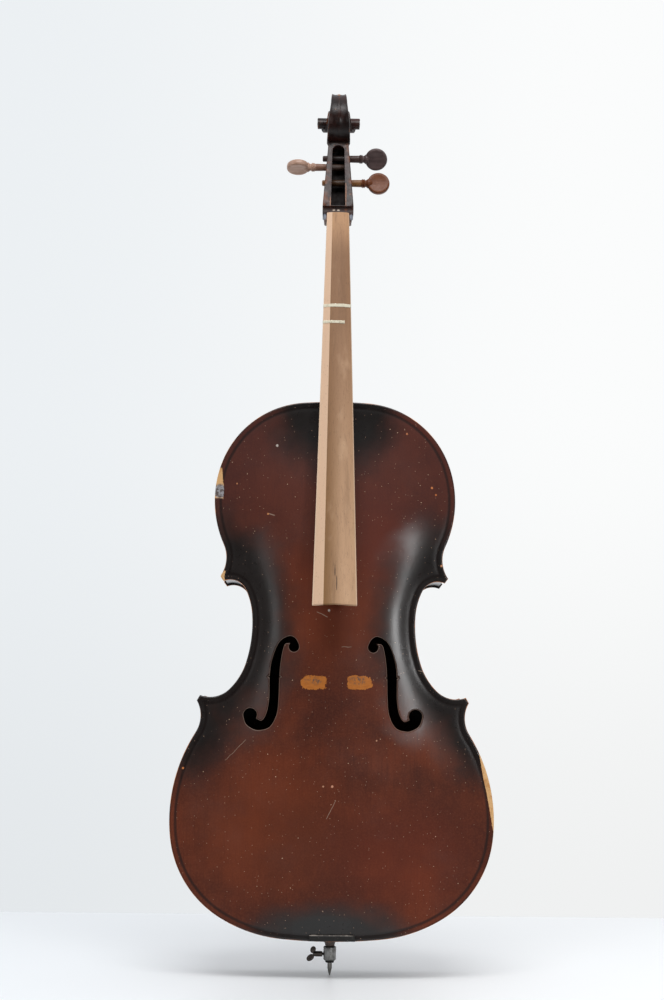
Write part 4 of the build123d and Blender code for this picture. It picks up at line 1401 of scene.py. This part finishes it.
for k in range(12):
    thread += [(4.3 + k * THREAD_PITCH, 1.95), (4.65 + k * THREAD_PITCH, 1.72)]
thread += [(13.0, 1.95), (20.5, 1.95), (20.9, 1.6)]
turned_piece("screw_shank", thread, IRON, "screw_shank", SCREW_CENTRE, SCREW_AXIS)


def wing_thickness(share):
    """Half the thickness of a wing, from its middle to its rounded rim."""
    return 1.0 + 0.9 * (1 - share) if share < 0.97 else 0.7 * (1.12 - share) / 0.15


def make_wings():
    """The cast head of the wing screw: a hub and two bent wings."""
    hub = [(10.2, 2.6), (10.6, 3.5), (11.2, 3.8), (19.0, 3.8), (22.6, 3.5), (23.6, 3.0), (24.0, 2.0)]
    shells = [lathe(hub, SCREW_CENTRE, SCREW_AXIS, 40)]
    for x, z, lean, rx, rz in ((-23.6, 5.6, -20, 3.9, 4.9), (-27.4, -5.4, 38, 6.0, 4.1)):
        a = radians(lean)
        u = np.array([cos(a), 0.0, sin(a)])
        v = np.array([-sin(a), 0.0, cos(a)])
        shells.append(disc(
            np.array([x, 0.0, SCREW_Z + z]), u, v, np.array([0.0, 1.0, 0.0]),
            lambda angle, rx=rx, rz=rz: rx * rz / hypot(rz * cos(angle), rx * sin(angle)),
            wing_thickness, 40,
        ))
    wings = joined("screw_wings_cast", shells, IRON, body="screw_wings")
    sharpen(wings, 60)
    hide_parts("screw_wings")


make_wings()


# ---- CAD nodes whose shape is kept --------------------------------------------------
replaced = {
    "top_plate", "back_plate", "neck_scroll", "fingerboard", "tape_upper", "tape_lower",
    "peg_g", "peg_d", "peg_a", "saddle", "end_plug", "endpin_collar",
    "collar_ring", "endpin_rod", "screw_shank", "screw_wings",
}
for node_name, node in nodes.items():
    if node_name in replaced:
        continue
    node.data.materials.clear()
    node.data.materials.append(RIB_VARNISH if node_name.startswith("rib_") else SPRUCE)


# ---- camera, light and floor --------------------------------------------------------
def make_camera():
    """The camera at the photograph's angle: a little below the middle, looking up."""
    yaw, pitch, roll = radians(-0.6), radians(-6.2), radians(0.62)
    target = Vector((-4.4, -EDGE_Y, 667.3)) * MM
    distance = 2.760
    back = Vector((sin(yaw) * cos(pitch), -cos(yaw) * cos(pitch), sin(pitch)))
    right = (-back).cross(Vector((0, 0, 1))).normalized()
    up = right.cross(-back)
    data = bpy.data.cameras.new("camera")
    data.lens = 70.2
    data.sensor_width = 36
    camera = bpy.data.objects.new("camera", data)
    axes = Matrix((right * cos(roll) + up * sin(roll), up * cos(roll) - right * sin(roll), back))
    axes = axes.transposed().to_4x4()
    axes.translation = target + back * distance
    camera.matrix_world = axes
    bpy.context.scene.collection.objects.link(camera)
    bpy.context.scene.camera = camera


def make_world():
    """A white studio: a pale backdrop to the camera, light from behind and the sides."""
    world = bpy.data.worlds.new("studio")
    bpy.context.scene.world = world
    world.use_nodes = True
    s = Nodes(world.node_tree, "Generated")
    x, y, z = s.xyz()
    across = s.step(x, -0.17, 0.15)
    low = s.mix(across, srgb(228, 232, 235), srgb(240, 241, 241))
    high = s.mix(across, srgb(236, 240, 243), srgb(251, 252, 252))
    seen = s.mix(s.step(z, -0.10, 0.16), low, high)
    studio = s.mix(s.step(y, -0.4, 0.35), (0.045, 0.047, 0.05), (0.95, 0.97, 1.0))
    studio = s.mix(s.step(z, 0.25, 0.75), studio, (0.8, 0.82, 0.85))
    backdrop, light = s.node("ShaderNodeBackground"), s.node("ShaderNodeBackground")
    s.feed(backdrop.inputs["Color"], seen)
    s.feed(light.inputs["Color"], studio)
    chosen = s.node("ShaderNodeMixShader")
    s.feed(chosen.inputs[0], s.node("ShaderNodeLightPath").outputs["Is Camera Ray"])
    s.feed(chosen.inputs[1], light.outputs[0])
    s.feed(chosen.inputs[2], backdrop.outputs[0])
    s.feed(s.node("ShaderNodeOutputWorld").inputs[0], chosen.outputs[0])


def soft_light(name, place, aim, width, height, power):
    """A softbox aimed at a point."""
    data = bpy.data.lights.new(name, "AREA")
    data.shape = "RECTANGLE"
    data.size, data.size_y = width, height
    data.energy = power
    lamp = bpy.data.objects.new(name, data)
    lamp.location = place
    lamp.rotation_euler = (Vector(aim) - Vector(place)).to_track_quat("-Z", "Y").to_euler()
    bpy.context.scene.collection.objects.link(lamp)


def make_floor():
    """The pale table top that the endpin stands on, darkened to the left by painted shade."""
    s = Shader("table_top")
    # Darker to the left: painted shade across the table top.
    left = s.fade(s.xyz()[0], -0.5, 0.4)
    pale = s.finish(s.mix(left, srgb(247, 248, 248), srgb(236, 239, 241)), 0.42, specular=0.25)
    corners = [(x, y, 0.0) for y in (-800, 820) for x in (-3000, 3000)]
    table = new_object("table_top", corners, [(0, 1, 3, 2)], pale)


make_camera()
make_world()
soft_light("right_softbox", (1.06, -2.4, 0.66), (0, 0, 0.50), 0.26, 0.36, 7.5)
soft_light("left_softbox", (-1.1, -2.3, 0.75), (0, 0, 0.5), 0.3, 0.8, 2.4)
soft_light("top_softbox", (0.0, -1.9, 3.0), (0, 0, 0.6), 2.4, 1.2, 60)
make_floor()
bpy.context.scene.view_settings.view_transform = "Standard"
